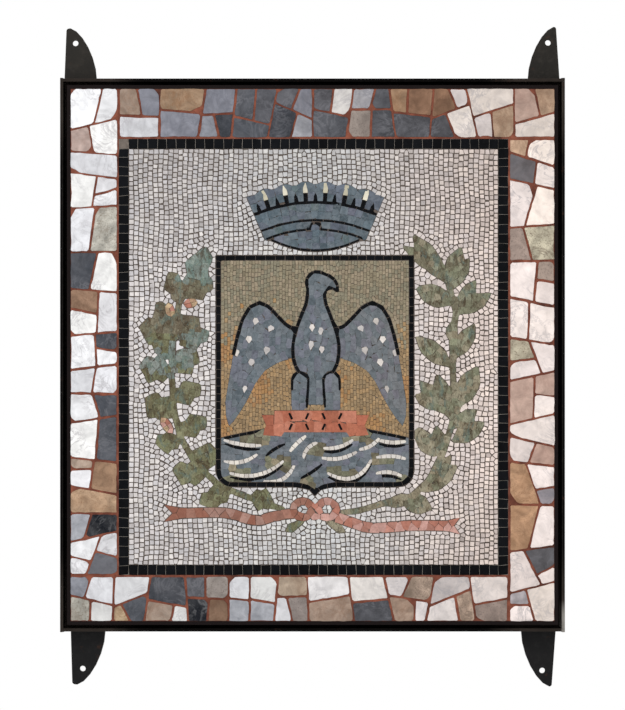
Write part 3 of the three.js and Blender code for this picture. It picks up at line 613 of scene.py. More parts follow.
# Lines round the thighs of the bird: an arch with a short end outwards and a long one inwards
WING_LOW, WING_HIGH = span(WINGS)
BIRD_X = (WING_LOW[0] + WING_HIGH[0]) / 2
BIRD_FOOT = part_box("bird_body")[0].z
BIRD_LINE = 5.5 * MM
THIGH_OUT, THIGH_RADIUS, THIGH_ARCH = 32 * MM, 17 * MM, 61 * MM
THIGH_FOOT, THIGH_SHORT, THIGH_LEAN = 6 * MM, 42 * MM, 4 * MM
THIGH_LINES = ["thigh_line_left", "thigh_line_right"]
for name, side in zip(THIGH_LINES, (-1, 1)):
    x, z = BIRD_X + side * THIGH_OUT, BIRD_FOOT + THIGH_ARCH
    turn = np.linspace(0, math.pi, 24)
    arch = np.stack([x + side * THIGH_RADIUS * np.cos(turn), z + THIGH_RADIUS * np.sin(turn)], 1)
    line = np.array([(x + side * THIGH_RADIUS, BIRD_FOOT + THIGH_SHORT), *arch,
                     (x - side * (THIGH_RADIUS - THIGH_LEAN), BIRD_FOOT + THIGH_FOOT)])
    draw_line(name, line, np.full(len(line), BIRD_LINE), "bird_body", "shield_field")

# Pale single tesserae on the bird: places in shares of a wing's box, inner edge first, and of
# the body's box, with half height and half width in millimetres and a lean
WING_ACCENTS = [
    (0.34, 0.80, 8, 7, 0.4), (0.56, 0.86, 8, 7, 0.2), (0.40, 0.62, 9, 7, 0.3),
    (0.66, 0.71, 8, 7, 0.1), (0.62, 0.52, 9, 7, 0.1), (0.84, 0.60, 8, 6, 0.0),
    (0.72, 0.30, 8, 5, 0.2),
]
BODY_ACCENTS = [
    (0.42, 0.60, 8, 6, 0.0), (0.60, 0.57, 10, 6, 0.0), (0.40, 0.47, 11, 6, 0.0),
    (0.62, 0.44, 8, 6, 0.0),
]


def add_accent(place, half_height, half_width, lean, owner):
    ACCENTS.append(f"accent_{len(ACCENTS)}")
    dx, dz = CELL_X[None, :] - place[0], CELL_Z[:, None] - place[1]
    along = (dz * math.cos(lean) + dx * math.sin(lean)) / (half_height * MM)
    across = (dx * math.cos(lean) - dz * math.sin(lean)) / (half_width * MM)
    size = np.abs(along) ** 3 + np.abs(across / np.clip(0.9 + 0.6 * along, 0.3, 1)) ** 3
    claim(ACCENTS[-1], size < 1, owner)


ACCENTS = []
for wing, outward in zip(WINGS, (-1, 1)):
    low, high = span([wing])
    inner = high[0] if outward < 0 else low[0]
    for u, v, tall, wide, lean in WING_ACCENTS:
        place = (inner + outward * u * (high[0] - low[0]), low[1] + v * (high[1] - low[1]))
        add_accent(place, tall, wide, -outward * lean, wing)
low, high = span(["bird_body"])
for u, v, tall, wide, lean in BODY_ACCENTS:
    add_accent(low + (high - low) * (u, v), tall, wide, lean, "bird_body")


# ---- Colours of the figures ----

# A look is a kind of stone, a tint and how much the stones' tones vary
PLAIN = (1, 1, 1)
BLACK = ("black", PLAIN, 0.1)
BLACK_SLAB = ("black", PLAIN, 0.07)


def share_of(value, low, high):
    return float(np.clip((value - low) / (high - low), 0, 1))


def white_look(x, z, rng):
    """White tesserae: lilac to the left, cool in the middle, warm to the right"""
    warm = share_of(x, 0.05, 0.36)
    cool = 1 - abs(share_of(x, -0.25, 0.25) * 2 - 1)
    tint = np.array([1.0, 0.99, 1.0]) + cool * np.array([-0.03, 0.02, 0.02])
    tint = tint + warm * np.array([0.10, -0.01, -0.08])
    dim = 0.20 * share_of(z, 0.12, 0.40) + 0.08 * share_of(z, -0.25, -0.42)
    dim += 0.08 * share_of(x, -0.05, -0.30) * share_of(z, 0.05, 0.30)
    dim -= 0.10 * share_of(x, 0.24, 0.36) * (1 - share_of(abs(z), 0.15, 0.38))
    if rng.random() < 0.06:
        dim += rng.uniform(0.08, 0.25)
    return "white", tint * (1.12 - dim), 0.06


def field_look(x, z, rng):
    """Khaki above, ochre below, orange patches at the foot"""
    low, high = span(["shield_field"])
    depth = share_of(z, high[1], low[1]) + rng.normal(0, 0.08)
    patch = math.sin(41 * x + 3) * math.sin(37 * z + 1) + rng.normal(0, 0.25)
    if depth > 0.42 and patch > 0.45:
        return "orange", PLAIN, 0.06
    return "ochre" if depth > 0.42 else "khaki", PLAIN, 0.07


def water_look(x, z, rng):
    """Slate with olive and ochre patches"""
    patch = math.sin(57 * x + 60 * z) + math.sin(93 * z - 31 * x + 1)
    if patch > 0.7 + rng.normal(0, 0.3):
        return "olive" if rng.random() < 0.85 else "sand", (1.1, 1.1, 1.1), 0.1
    return "slate", (1.02, 1.0, 1.0), 0.10


def bird_look(x, z, rng):
    """Slate, a little warmer towards the right wing"""
    warm = share_of(x, 0, 0.15)
    return "slate", (1 + 0.14 * warm, 1 + 0.04 * warm, 1 - 0.02 * warm), 0.08


def crown_look(x, z, rng):
    tint = (0.90, 1.0, 1.04)
    if rng.random() < 0.12:
        tint = [(1.1, 1.06, 1.2), (0.95, 1.08, 1.0)][rng.integers(2)]
    return "slate", np.array(tint) * 0.80, 0.13


def oak_look(x, z, rng):
    """Blue-green at the tip and in the middle of the branch, brown outside, dark olive below"""
    if z > 0.15 and x > -0.28:
        return "sage", (0.92, 0.94, 0.92), 0.1
    if abs(z - 0.01 - 0.3 * (x + 0.26)) < 0.028 + rng.normal(0, 0.012):
        return "sage", (0.98, 0.94, 0.94), 0.1
    if z > 0.04:
        return "olive", (0.90, 0.82, 0.82), 0.08
    return "olive", (0.90, 0.91, 0.76), 0.10


def laurel_look(x, z, rng):
    if rng.random() < share_of(z, 0.1, -0.3) * 0.6 + 0.15:
        return "sand", PLAIN, 0.08
    return "olive", (1.1, 1.12, 1.12), 0.08


def ribbon_look(x, z, rng):
    if x < 0:
        return "salmon", (0.66, 0.68, 0.66), 0.08
    return "salmon", (0.96, 0.96, 0.98), 0.1


def acorn_look(x, z, rng):
    return "siena" if rng.random() < 0.4 else "salmon", PLAIN, 0.12


# ---- Materials ----


class Shader:
    """A material's node tree, built from one Principled shader"""

    def __init__(self, name, roughness, specular):
        self.material = bpy.data.materials.new(name)
        self.material.use_nodes = True
        self.tree = self.material.node_tree
        self.surface = self.tree.nodes["Principled BSDF"]
        self.surface.inputs["Roughness"].default_value = roughness
        self.surface.inputs["Specular IOR Level"].default_value = specular

    def node(self, kind, outlet=0, inputs=None, **settings):
        """A new node; inputs are values or other nodes' outlets"""
        node = self.tree.nodes.new("ShaderNode" + kind)
        for key, value in settings.items():
            setattr(node, key, value)
        for key, value in (inputs or {}).items():
            if isinstance(value, bpy.types.NodeSocket):
                self.tree.links.new(value, node.inputs[key])
            else:
                node.inputs[key].default_value = value
        return node.outputs[outlet]

    def place(self):
        return self.node("TexCoord", "Object")

    def math(self, operation, a, b=0.0, clamp=False):
        return self.node("Math", inputs={0: a, 1: b}, operation=operation, use_clamp=clamp)

    def times(self, a, b, clamp=False):
        return self.math("MULTIPLY", a, b, clamp)

    def plus(self, a, b):
        return self.math("ADD", a, b)

    def noise(self, place, scale, detail=4.0, roughness=0.55, distortion=0.0):
        return self.node("TexNoise", "Fac", {
            "Vector": place, "Scale": scale, "Detail": detail, "Roughness": roughness,
            "Distortion": distortion})

    def stretched(self, scales):
        return self.node("Mapping", "Vector", {"Vector": self.place(), "Scale": scales})

    def ramp(self, value, low, high, to_low=0.0, to_high=1.0):
        return self.node("MapRange", "Result", {
            "Value": value, "From Min": low, "From Max": high, "To Min": to_low,
            "To Max": to_high})

    def parts(self, kind, value):
        """The three parts of a place (XYZ) or of a colour (Color)"""
        return self.node("Separate" + kind, inputs={0: value}).node.outputs

    def outward(self, operation, across, up):
        """Grows from the middle out: a ramp sideways and one up and down, joined"""
        x, _, z = self.parts("XYZ", self.place())
        return self.math(operation, self.ramp(self.math("ABSOLUTE", x), *across),
                         self.ramp(self.math("ABSOLUTE", z), *up))

    def mix(self, share, a, b):
        """A colour between a and b"""
        return self.node("Mix", 2, {0: share, 6: a, 7: b}, data_type="RGBA")

    def scaled(self, colour, factor):
        return self.node("VectorMath", "Vector", {0: colour, "Scale": factor}, operation="SCALE")

    def attribute(self, name, outlet="Color"):
        return self.node("Attribute", outlet, attribute_name=name)

    def finish(self, colour, roughness=None, height=None, bump=0, distance=0):
        """The material, with bumps that are this strong and this high"""
        self.tree.links.new(colour, self.surface.inputs["Base Color"])
        if roughness:
            self.tree.links.new(roughness, self.surface.inputs["Roughness"])
        if height:
            normal = self.node("Bump", "Normal", {
                "Height": height, "Strength": bump, "Distance": distance})
            self.tree.links.new(normal, self.surface.inputs["Normal"])
        return self.material


def stone_material(name, size, roughness):
    """Stone whose colours and markings come from each piece's own values; size is the scale of
    its clouds"""
    s = Shader(name, roughness, 0.06)
    veins, clouds, specks = s.parts("Color", s.attribute("traits"))
    shifted = s.node("VectorMath", "Vector", {0: s.place(), 1: s.attribute("chance", "Vector")},
                     operation="ADD")
    vein = s.attribute("vein")
    cloud = s.noise(shifted, 1 / size, 5.0, 0.6, 0.6)
    shade = s.times(s.ramp(cloud, 0.3, 0.7, -0.5, 0.5), clouds)
    colour = s.scaled(s.attribute("base"), s.plus(shade, 1.0))
    drift = s.ramp(s.noise(shifted, 0.45 / size, 3.0, 0.6, 0.8), 0.45, 0.72, 0.0, 0.55)
    colour = s.mix(s.times(drift, clouds, clamp=True), colour, vein)
    ridge = s.math("SUBTRACT", s.noise(shifted, 0.5 / size, 6.0, 0.65, 1.6), 0.5)
    line = s.ramp(s.math("ABSOLUTE", ridge), 0.0, 0.045, 1.0, 0.0)
    where = s.ramp(s.noise(shifted, 0.35 / size, 2.0), 0.4, 0.65)
    colour = s.mix(s.times(s.times(line, where), veins, clamp=True), colour, vein)
    grain = s.noise(shifted, 9 / size, 2.0, 0.8)
    colour = s.mix(s.times(s.ramp(grain, 0.56, 0.66), specks, clamp=True), colour, vein)
    fine = s.noise(s.place(), 900.0, 3.0, 0.7)
    rough = s.ramp(cloud, 0.2, 0.8, roughness - 0.08, roughness + 0.1)
    return s.finish(colour, rough, s.plus(fine, cloud), 0.25, 0.25 * MM)


def leaf_material():
    """Green serpentine: fine streaks and flecks of brown, blue-green and a pale olive"""
    s = Shader("leaf_stone", 0.55, 0.06)
    place = s.stretched((1.0, 1.0, 0.55))
    brown, blue, pale = map(paint, ((74, 60, 44), (98, 118, 112), (184, 182, 158)))
    colour = s.attribute("base")
    for scale, low, high, most, shade in (
            (75.0, 0.50, 0.62, 0.75, brown), (58.0, 0.54, 0.64, 0.6, blue),
            (240.0, 0.54, 0.66, 0.55, brown), (300.0, 0.58, 0.68, 0.5, pale)):
        share = s.ramp(s.noise(place, scale, 5.0, 0.65, 1.0), low, high, 0.0, most)
        colour = s.mix(share, colour, shade)
    fine = s.noise(place, 420.0, 3.0, 0.7)
    colour = s.scaled(colour, s.ramp(fine, 0.3, 0.7, 0.78, 1.3))
    return s.finish(colour, s.ramp(fine, 0.2, 0.8, 0.48, 0.66), fine, 0.25, 0.25 * MM)


def mortar_material(name, colours, patch_size, rim=None):
    """Rubbed cement: patches of three colours, pits and grains of sand, and painted shade beyond the
    rim, standing in for the shadow in the gap by the frame
    """
    s = Shader(name, 0.9, 0.2)
    place = s.place()
    patch = s.noise(place, 1 / patch_size, 4.0, 0.6)
    grain = s.noise(place, 700.0, 3.0, 0.7)
    light, middle, dark = map(paint, colours)
    colour = s.mix(s.ramp(patch, 0.35, 0.6), light, middle)
    colour = s.mix(s.ramp(s.noise(place, 0.45 / patch_size, 5.0), 0.56, 0.7), colour, dark)
    colour = s.mix(s.ramp(grain, 0.55, 0.75, 0.0, 0.5), colour, dark)
    if rim:
        # painted shade: beyond the rim the mortar turns near black, for the shadow in the gap
        # between the border stones and the frame
        painted_rim_shadow = s.outward("MAXIMUM", *((at - MM, at) for at in rim))
        colour = s.mix(painted_rim_shadow, colour, paint((17, 8, 8), 1))
    pits = s.ramp(s.noise(place, 220.0, 2.0), 0.3, 0.42)
    height = s.plus(s.times(grain, 0.5), s.plus(pits, patch))
    return s.finish(colour, s.ramp(grain, 0.3, 0.7, 0.8, 0.97), height, 0.6, 0.6 * MM)


SCUFF = (0.512, -0.505)  # the frame is scuffed bright to the right of and below this
SCUFF_SOFT = (2 * MM, -30 * MM)
SCUFF_COLOUR, RUST_COLOUR = (150, 146, 140), (76, 52, 40)


def steel_material(name, plain, worn, wear, specular, corner=None):
    """Dark steel: scale and old paint with thin scratches, rubbed patches and worn corners"""
    s = Shader(name, 0.55, specular)
    place = s.place()
    cloud = s.noise(place, 28.0, 6.0, 0.65)
    scratch = s.noise(s.stretched((1.0, 6.0, 0.25)), 420.0, 3.0, 0.7, 0.4)
    rubbed = s.times(s.ramp(s.noise(place, 75.0, 6.0, 0.7), 0.5, 0.68), wear)
    plain, worn = paint(plain), paint(worn)
    colour = s.mix(s.ramp(cloud, 0.3, 0.75, 0.0, 0.45), plain, worn)
    colour = s.mix(s.times(s.ramp(scratch, 0.66, 0.74), 0.5), colour, worn)
    colour = s.mix(rubbed, colour, worn)
    if corner:
        near = s.outward("MULTIPLY", (0.36, 0.42), (0.40, 0.50))
        patches = s.ramp(cloud, 0.2, 0.6, 0.5, 1.0)
        colour = s.mix(s.times(near, patches), colour, paint(corner))
        x, _, z = s.parts("XYZ", place)
        scuffed = s.times(*(s.ramp(value, at, at + soft)
                            for value, at, soft in zip((x, z), SCUFF, SCUFF_SOFT)))
        patches = s.ramp(cloud, 0.25, 0.5, 0.4, 1.0)
        colour = s.mix(s.times(scuffed, patches), colour, paint(SCUFF_COLOUR))
    rust = s.ramp(s.noise(place, 46.0, 5.0, 0.7), 0.62, 0.74, 0.0, 0.55)
    colour = s.mix(rust, colour, paint(RUST_COLOUR))
    rough = s.ramp(cloud, 0.3, 0.7, 0.42, 0.72)
    height = s.plus(cloud, s.times(s.noise(place, 600.0), 0.35))
    return s.finish(colour, rough, height, 0.35, 0.4 * MM)


def slab_material():
    """The cement slab's back, with float marks, and painted shade on its rim at the front, standing
    in for the shadow in the groove by the frame
    """
    s = Shader("slab_cement", 0.92, 0.2)
    place = s.place()
    swirl = s.noise(place, 5.0, 5.0, 0.6, 2.2)
    strokes = s.noise(s.stretched((1, 1, 6)), 22.0, 4.0)
    grain = s.noise(place, 420.0, 3.0, 0.7)
    light, dark, stain = map(paint, ((158, 150, 138), (122, 113, 102), (104, 84, 66)))
    colour = s.mix(s.ramp(s.plus(swirl, strokes), 0.75, 1.3), dark, light)
    edge = s.outward("MAXIMUM", (0.42, 0.48), (0.48, 0.53))
    colour = s.mix(s.times(edge, s.ramp(swirl, 0.35, 0.7)), colour, stain)
    colour = s.mix(s.ramp(grain, 0.55, 0.75, 0.0, 0.35), colour, dark)
    # painted shade: the slab's front, seen at the floor of the groove by the frame, turns near black
    # as if in shadow
    rim = s.ramp(s.parts("XYZ", place)[1], -0.030, -0.026, 1.0, 0.0)
    colour = s.mix(rim, colour, paint((22, 17, 15), 1))
    pits = s.ramp(s.noise(place, 90.0, 3.0), 0.27, 0.36)
    height = s.plus(s.plus(strokes, pits), s.times(grain, 0.4))
    return s.finish(colour, s.ramp(grain, 0.3, 0.7, 0.82, 0.98), height, 0.7, 1.2 * MM)


TESSERA = stone_material("tessera_stone", 9 * MM, 0.55)
MARBLE = stone_material("border_marble_stone", 26 * MM, 0.45)
LEAF = leaf_material()
STONE_REACH = (0.4985, 0.5485)  # the border's stones end here, from the middle
JOINT_GREY = mortar_material("joint_grey", [(112, 102, 95), (92, 82, 75), (70, 61, 54)], 40 * MM)
JOINT_PALE = mortar_material("joint_pale", [(158, 152, 144), (128, 122, 114), (98, 92, 84)], 30 * MM)
# beyond STONE_REACH this mortar is painted near black, as shade in the gap by the frame
JOINT_RED = mortar_material("joint_red", [(154, 90, 70), (114, 64, 50), (82, 48, 38)], 26 * MM,
                            STONE_REACH)
BAR_STEEL = steel_material("bar_steel", (5, 4, 4), (20, 18, 17), 0.4, 0.03, (52, 46, 42))
WORN_STEEL = steel_material("worn_steel", (19, 17, 16), (58, 54, 50), 0.7, 0.08, (70, 64, 58))
LUG_STEEL = steel_material("lug_steel", (36, 34, 31), (62, 58, 53), 0.5, 0.10)
DARK_LUG_STEEL = steel_material("dark_lug_steel", (24, 24, 25), (44, 43, 43), 0.5, 0.08)
WELD_STEEL = steel_material("weld_steel", (34, 31, 29), (84, 78, 72), 0.8, 0.15)


# ---- Mosaic ----

# Each figure: piece, slot, CAD nodes that it stands for, its parts, and for each part the
# tessera's width and height, the joint, how far rows follow the outline, all in millimetres,
# and the colours. A height of zero scatters them, for narrow lines.
FIGURES = [
    ("white_tesserae", "white_marble", ["white_ground"],
     [(["white_ground"], (10.2, 10.0), 1.9, 30, white_look)]),
    ("field_tesserae", "ochre_marble", ["shield_field"],
     [(["shield_field"], (6.4, 9.2), 0.55, 9, field_look)]),
    ("water_tesserae", "slate_marble", ["water"],
     [(["water"], (15.0, 11.0), -0.4, 60, water_look),
      (WHITE_STREAKS, (10, 0), 0.8, 60, ("white", (1.12, 1.09, 1.02), 0.04)),
      (BLACK_STREAKS, (17, 0), 0.8, 60, BLACK),
      (["crest"], (20, 0), 0.9, 60, BLACK)]),
    ("shield_line_tesserae", "black_marble", ["shield_outline"],
     [(["shield_outline"], (19, 0), 1.1, 60, BLACK)]),
    ("bird_tesserae", "slate_marble", ["bird_body", *WINGS],
     [(["bird_body"], (12.0, 16.0), -0.5, 30, bird_look),
      (WINGS, (11.5, 17.0), -0.5, 60, bird_look),
      (ACCENTS, (24, 0), 0.3, 60, ("white", (1.0, 0.97, 0.94), 0.10)),
      (THIGH_LINES, (17, 0), 0.6, 60, BLACK)]),
    ("bird_line_tesserae", "black_marble", ["bird_outline"],
     [(["bird_outline"], (17, 0), 0.8, 60, BLACK)]),
    ("crown_tesserae", "slate_marble", ["crown_wall"],
     [(["crown_wall"], (15.0, 14.0), -0.3, 60, crown_look)]),
    ("crown_line_tesserae", "black_marble", CROWN_LINES,
     [(["crown_windows"], (8.0, 0), 0.2, 60, BLACK),
      (CROWN_LINES[1:], (19, 0), 0.8, 60, BLACK)]),
    ("merlon_tesserae", "cream_marble", MERLONS,
     [(MERLONS, (30, 0), 0.4, 60, ("cream", PLAIN, 0.1))]),
    ("band_tesserae", "red_marble", ["band"],
     [(["band"], (19.0, 21.0), -0.4, 5, ("red", (1.0, 0.94, 0.92), 0.08))]),
    ("ribbon_tesserae", "red_marble", ["ribbon_bow", "ribbon_left", "ribbon_right"],
     [(["ribbon_left", "ribbon_right"], (22, 0), 0.6, 60, ribbon_look),
      (["ribbon_bow"], (17, 0), 0.6, 60, ribbon_look)]),
    ("acorn_tesserae", "red_marble", ACORNS, [(ACORNS, (15, 0), 0.5, 60, acorn_look)]),
    ("oak_tesserae", "green_marble", ["oak_branch", "stem_end_left"],
     [(["oak_branch"], (13.0, 14.0), -0.5, 60, oak_look),
      (["stem_end_left"], (15, 0), 0.5, 60, oak_look)]),
    ("laurel_tesserae", "green_marble", ["laurel_branch", "stem_end_right"],
     [(["laurel_branch"], (13.0, 14.0), -0.5, 60, laurel_look),
      (["stem_end_right"], (15, 0), 0.5, 60, laurel_look)]),
]
PROUD = 0.2 * MM  # lines and accents stand out this much
SPACING = 0.78  # of scattered tesserae, in pitches


def add_band_strokes(stones, rng):
    """One black stone for each stroke, standing a little out of the band"""
    for corners in loops_of(STROKES):
        outline = inset(corners if area_of(corners) > 0 else corners[::-1], 0.2 * MM)
        stones.add(outline, BLACK_SLAB, rng, bevel=0.3 * MM, proud=0.4 * MM)


def add_figure(seed, name, slot, nodes, parts):
    rng = np.random.default_rng(seed)
    stones = Stones()
    for regions, (width, height), joint, follow, look in parts:
        pitch = (width * MM, (height or width) * MM)
        for region in regions:
            mask = MASKS[region]
            if height:
                places = staggered_columns(mask, pitch, rng)
            elif region in LINES:
                places = kept_inside(along_line(LINES[region], pitch[0]), mask)
            else:
                places = scattered(mask, SPACING * width * MM, rng)
            laid = lay(mask, EDGES.get(region, EDGES[nodes[0]]), places, pitch, follow * MM)
            proud = PROUD if region in LINES or region in ACCENTS else 0
            add_tesserae(stones, laid, joint * MM, look, rng, proud)
    if name == "band_tesserae":
        add_band_strokes(stones, rng)
    stones.add_to_scene(name, nodes, LEAF if slot == "green_marble" else TESSERA)


for seed, figure in enumerate(FIGURES):
    add_figure(seed, *figure)


# ---- Black line round the picture ----

LINE_PITCH = 19.4 * MM
HALF_JOINT = 0.4 * MM
CUT_SCATTER, SLANT_SCATTER, SIDE_SCATTER = 0.9 * MM, 0.35 * MM, 0.3 * MM  # hand work
WORN_SLAB = ("granite", (0.45, 0.45, 0.42), 0.07)  # the left line's uppermost


def add_black_line():
    rng = np.random.default_rng(101)
    stones = Stones()
    for node in BLACK_LINES:
        low, high = span([node])
        along = int(np.argmax(high - low))
        count = round((high - low)[along] / LINE_PITCH)
        cuts = np.linspace(low[along], high[along], count + 1)
        cuts[1:-1] += rng.normal(0, CUT_SCATTER, count - 1)
        slants = rng.normal(0, SLANT_SCATTER, count + 1)
        for i in range(count):
            ends = [cuts[i] + slants[i] + HALF_JOINT, cuts[i] - slants[i] + HALF_JOINT,
                    cuts[i + 1] - slants[i + 1] - HALF_JOINT,
                    cuts[i + 1] + slants[i + 1] - HALF_JOINT]
            sides = np.array([low, high, high, low])[:, 1 - along]
            sides = sides + rng.normal(0, SIDE_SCATTER, 4)
            corners = np.stack([ends, sides] if along == 0 else [sides, ends], axis=1)
            worn = node == "black_line_left" and i == count - 1
            stones.add(corners, WORN_SLAB if worn else BLACK_SLAB, rng)
    stones.add_to_scene("black_line_tesserae", BLACK_LINES, TESSERA)


add_black_line()


# ---- Border of broken marble ----

MOSAIC_LOW, MOSAIC_HIGH = span([f"marble_border_{side}" for side in BORDER_SIDES])

# Kinds of the border stones and how common they are, at the left and at the right
COMMON = {"carrara": (0.60, 0.52), "bardiglio": (0.10, 0.06), "pink": (0.06, 0.08),
          "beige": (0.05, 0.08), "breccia": (0.06, 0.03), "dark_slate": (0.05, 0.04),
          "tawny": (0.03, 0.05), "siena": (0.01, 0.06), "granite": (0.05, 0.06)}

# Each side: how much more common white and slate are there, and how light all its stones are
SIDES = {"left": (1.7, 1.2, 1.01), "top": (0.6, 2.8, 0.78), "right": (1.3, 0.9, 1.02),
         "bottom": (0.8, 1.9, 0.84)}
COMMON_SIZE = 3000 * MM**2  # a stone larger than this is more often white
COOL_TINT, WARM_TINT = np.array([0.97, 1.0, 1.02]), np.array([1.07, 0.97, 0.905])

# Places in shares of the mosaic's width and height, where a stone of one kind lies
ACCENT_STONES = [
    (0.04, 0.63, "dark_slate"), (0.05, 0.17, "black_veined"), (0.03, 0.21, "siena"),
    (0.14, 0.05, "beige"), (0.10, 0.03, "siena"), (0.96, 0.22, "siena"), (0.93, 0.29, "siena"),
    (0.12, 0.96, "beige"), (0.21, 0.97, "siena"), (0.33, 0.97, "bardiglio"),
    (0.41, 0.95, "dark_slate"), (0.45, 0.97, "dark_slate"), (0.48, 0.93, "bardiglio"),
    (0.56, 0.95, "carrara"), (0.63, 0.97, "dark_slate"), (0.66, 0.94, "dark_slate"),
    (0.27, 0.03, "black_veined"), (0.52, 0.04, "beige"), (0.60, 0.03, "dark_slate"),
    (0.94, 0.94, "pink"), (0.95, 0.80, "carrara"), (0.03, 0.90, "pink"), (0.05, 0.74, "carrara"),
]


BLUNT = (0.8, 3.5)  # in millimetres
BREAK_STEP, BREAK_BOW, BREAK_SCATTER = 9 * MM, 0.5 * MM, 0.35 * MM  # along a broken side


def rough_outline(corners, rng):
    """An outline broken by hand: short uneven steps along each side and blunted corners"""
    points = []
    for i, corner in enumerate(corners):
        to_before, to_after = corners[i - 1] - corner, corners[(i + 1) % len(corners)] - corner
        blunt = rng.uniform(*BLUNT) * MM
        for way in (to_before, to_after):
            length = np.hypot(*way)
            points.append(corner + way / length * min(blunt, 0.3 * length))
        side = np.array([-to_after[1], to_after[0]]) / length
        steps = int(length / BREAK_STEP)
        bow = rng.normal(0, BREAK_BOW)
        for share in np.arange(1, steps) / steps:
            off = 4 * bow * share * (1 - share) + rng.normal(0, BREAK_SCATTER)
            points.append(corner + to_after * share + side * off)
    return np.array(points)


def covers(corners, place):
    """Whether a place lies in a convex outline"""
    along = np.roll(corners, -1, axis=0) - corners
    to_place = place - corners
    turns = along[:, 0] * to_place[:, 1] - along[:, 1] * to_place[:, 0]
    return bool((turns > 0).all() or (turns < 0).all())


def stone_kind(side, middle, corners, rng):
    to_right = ((middle - MOSAIC_LOW) / (MOSAIC_HIGH - MOSAIC_LOW))[0]
    for share_x, share_z, kind in ACCENT_STONES:
        if covers(corners, MOSAIC_LOW + (MOSAIC_HIGH - MOSAIC_LOW) * (share_x, share_z)):
            return kind
    weights = np.array([a + (b - a) * to_right for a, b in COMMON.values()])
    white, slate, _ = SIDES[side]
    white *= np.clip(abs(area_of(corners)) / COMMON_SIZE, 0.6, 1.8)
    shares = {"carrara": white, "dark_slate": slate, "bardiglio": slate}
    weights *= [shares.get(kind, 1) for kind in COMMON]
    return list(COMMON)[rng.choice(len(COMMON), p=weights / weights.sum())]


def add_border_side(side, seed):
    rng = np.random.default_rng(seed)
    node = f"marble_border_{side}"
    stones = Stones()
    for corners in loops_of(outline_edges(node)):
        middle = corners.mean(axis=0)
        warm = share_of(middle[0], -0.1, 0.4)
        tint = COOL_TINT * (1 - warm) + WARM_TINT * warm
        outline = rough_outline(inset(corners, rng.uniform(-0.2, 0.7) * MM), rng)
        look = (stone_kind(side, middle, corners, rng), tint * SIDES[side][2], 0.06)
        stones.add(outline, look, rng, bevel=0.5 * MM, uneven=0.08 * MM)
    stones.add_to_scene(f"border_stones_{side}", [node], MARBLE)


for seed, side in enumerate(BORDER_SIDES):
    add_border_side(side, 200 + seed)


# ---- Mortar ----

MORTAR_STEP = 8 * MM  # of its surface's grid
MORTAR_SCATTER = 0.14  # of its depth, as a share
LINE_MORTAR_DEPTH = 0.6 * MM  # the black line's joints are filled higher


def add_mortar(name, node, depth, material, rng):
    """A mortar slab behind a CAD node's face, with a face that rises and falls a little"""
    low, high = span([node])
    counts = np.maximum(1, np.round((high - low) / MORTAR_STEP).astype(int))
    xs, zs = (np.linspace(low[k], high[k], counts[k] + 1) for k in (0, 1))
    points, faces = [], []
    for z in zs:
        for x in xs:
            edge = x in (xs[0], xs[-1]) or z in (zs[0], zs[-1])
            share = 1 if edge else rng.normal(1, MORTAR_SCATTER)
            points.append((x, FACE + depth * share, z))
    row = counts[0] + 1
    for j in range(counts[1]):
        for i in range(counts[0]):
            a = j * row + i
            faces.append((a, a + 1, a + row + 1, a + row))
    whole = len(points)
    rim = [*range(row), *range(2 * row - 1, whole, row),
           *range(whole - 2, whole - row - 1, -1), *range(whole - 2 * row, 0, -row)]
    points += [(points[i][0], BED, points[i][2]) for i in rim]
    for k in range(len(rim)):
        m = (k + 1) % len(rim)
        faces.append((rim[k], whole + k, whole + m, rim[m]))
    faces.append([whole + k for k in range(len(rim))])
    add_piece(new_mesh(name, points, faces, material))


rng = np.random.default_rng(301)
add_mortar("picture_mortar", "white_ground", MORTAR_DEPTH, JOINT_GREY, rng)
for node in BLACK_LINES:
    add_mortar(node.replace("black_line", "line_mortar"), node, LINE_MORTAR_DEPTH, JOINT_PALE, rng)
for side in BORDER_SIDES:
    add_mortar(f"border_mortar_{side}", f"marble_border_{side}", MORTAR_DEPTH, JOINT_RED, rng)
NODES["mortar_bed"].data.materials.clear()
NODES["mortar_bed"].data.materials.append(slab_material())


# ---- Steel ----

BAR_ROUNDING, LUG_ROUNDING = 0.9 * MM, 0.6 * MM
LUG_WELD, CORNER_WELD = 2.6 * MM, 1.7 * MM  # radii
WELD_LIFT = 1.2 * MM  # the lugs' beads lie this far out of the corner
RIPPLE = 2.6 * MM  # length of a bead's ripples
RING_STEP = 0.7 * MM  # from ring to ring of a bead's mesh
WANDER = 0.15 * MM  # how far a ring lies off the line
AROUND = 10  # sides of a weld bead


def add_rounded(node, name, radius, steel):
    """A CAD solid with its sharp edges rubbed round, the rounded edges in worn steel"""
    mesh = NODES[node].data.copy()
    mesh.name = name
    mesh.materials.clear()
    mesh.materials.append(steel)
    mesh.materials.append(WORN_STEEL)
    form = bmesh.new()
    form.from_mesh(mesh)
    for face in form.faces:
        face.material_index = 0
    bmesh.ops.remove_doubles(form, verts=form.verts, dist=0.01 * MM)
    bmesh.ops.dissolve_limit(form, angle_limit=math.radians(1), verts=form.verts, edges=form.edges)
    sharp = [e for e in form.edges if e.calc_face_angle(0) > math.radians(40)]
    bmesh.ops.bevel(form, geom=sharp, offset=radius, segments=2, profile=0.5, affect="EDGES",
                    clamp_overlap=True, material=1)
    form.to_mesh(mesh)
    form.free()
    add_piece(mesh, [node])


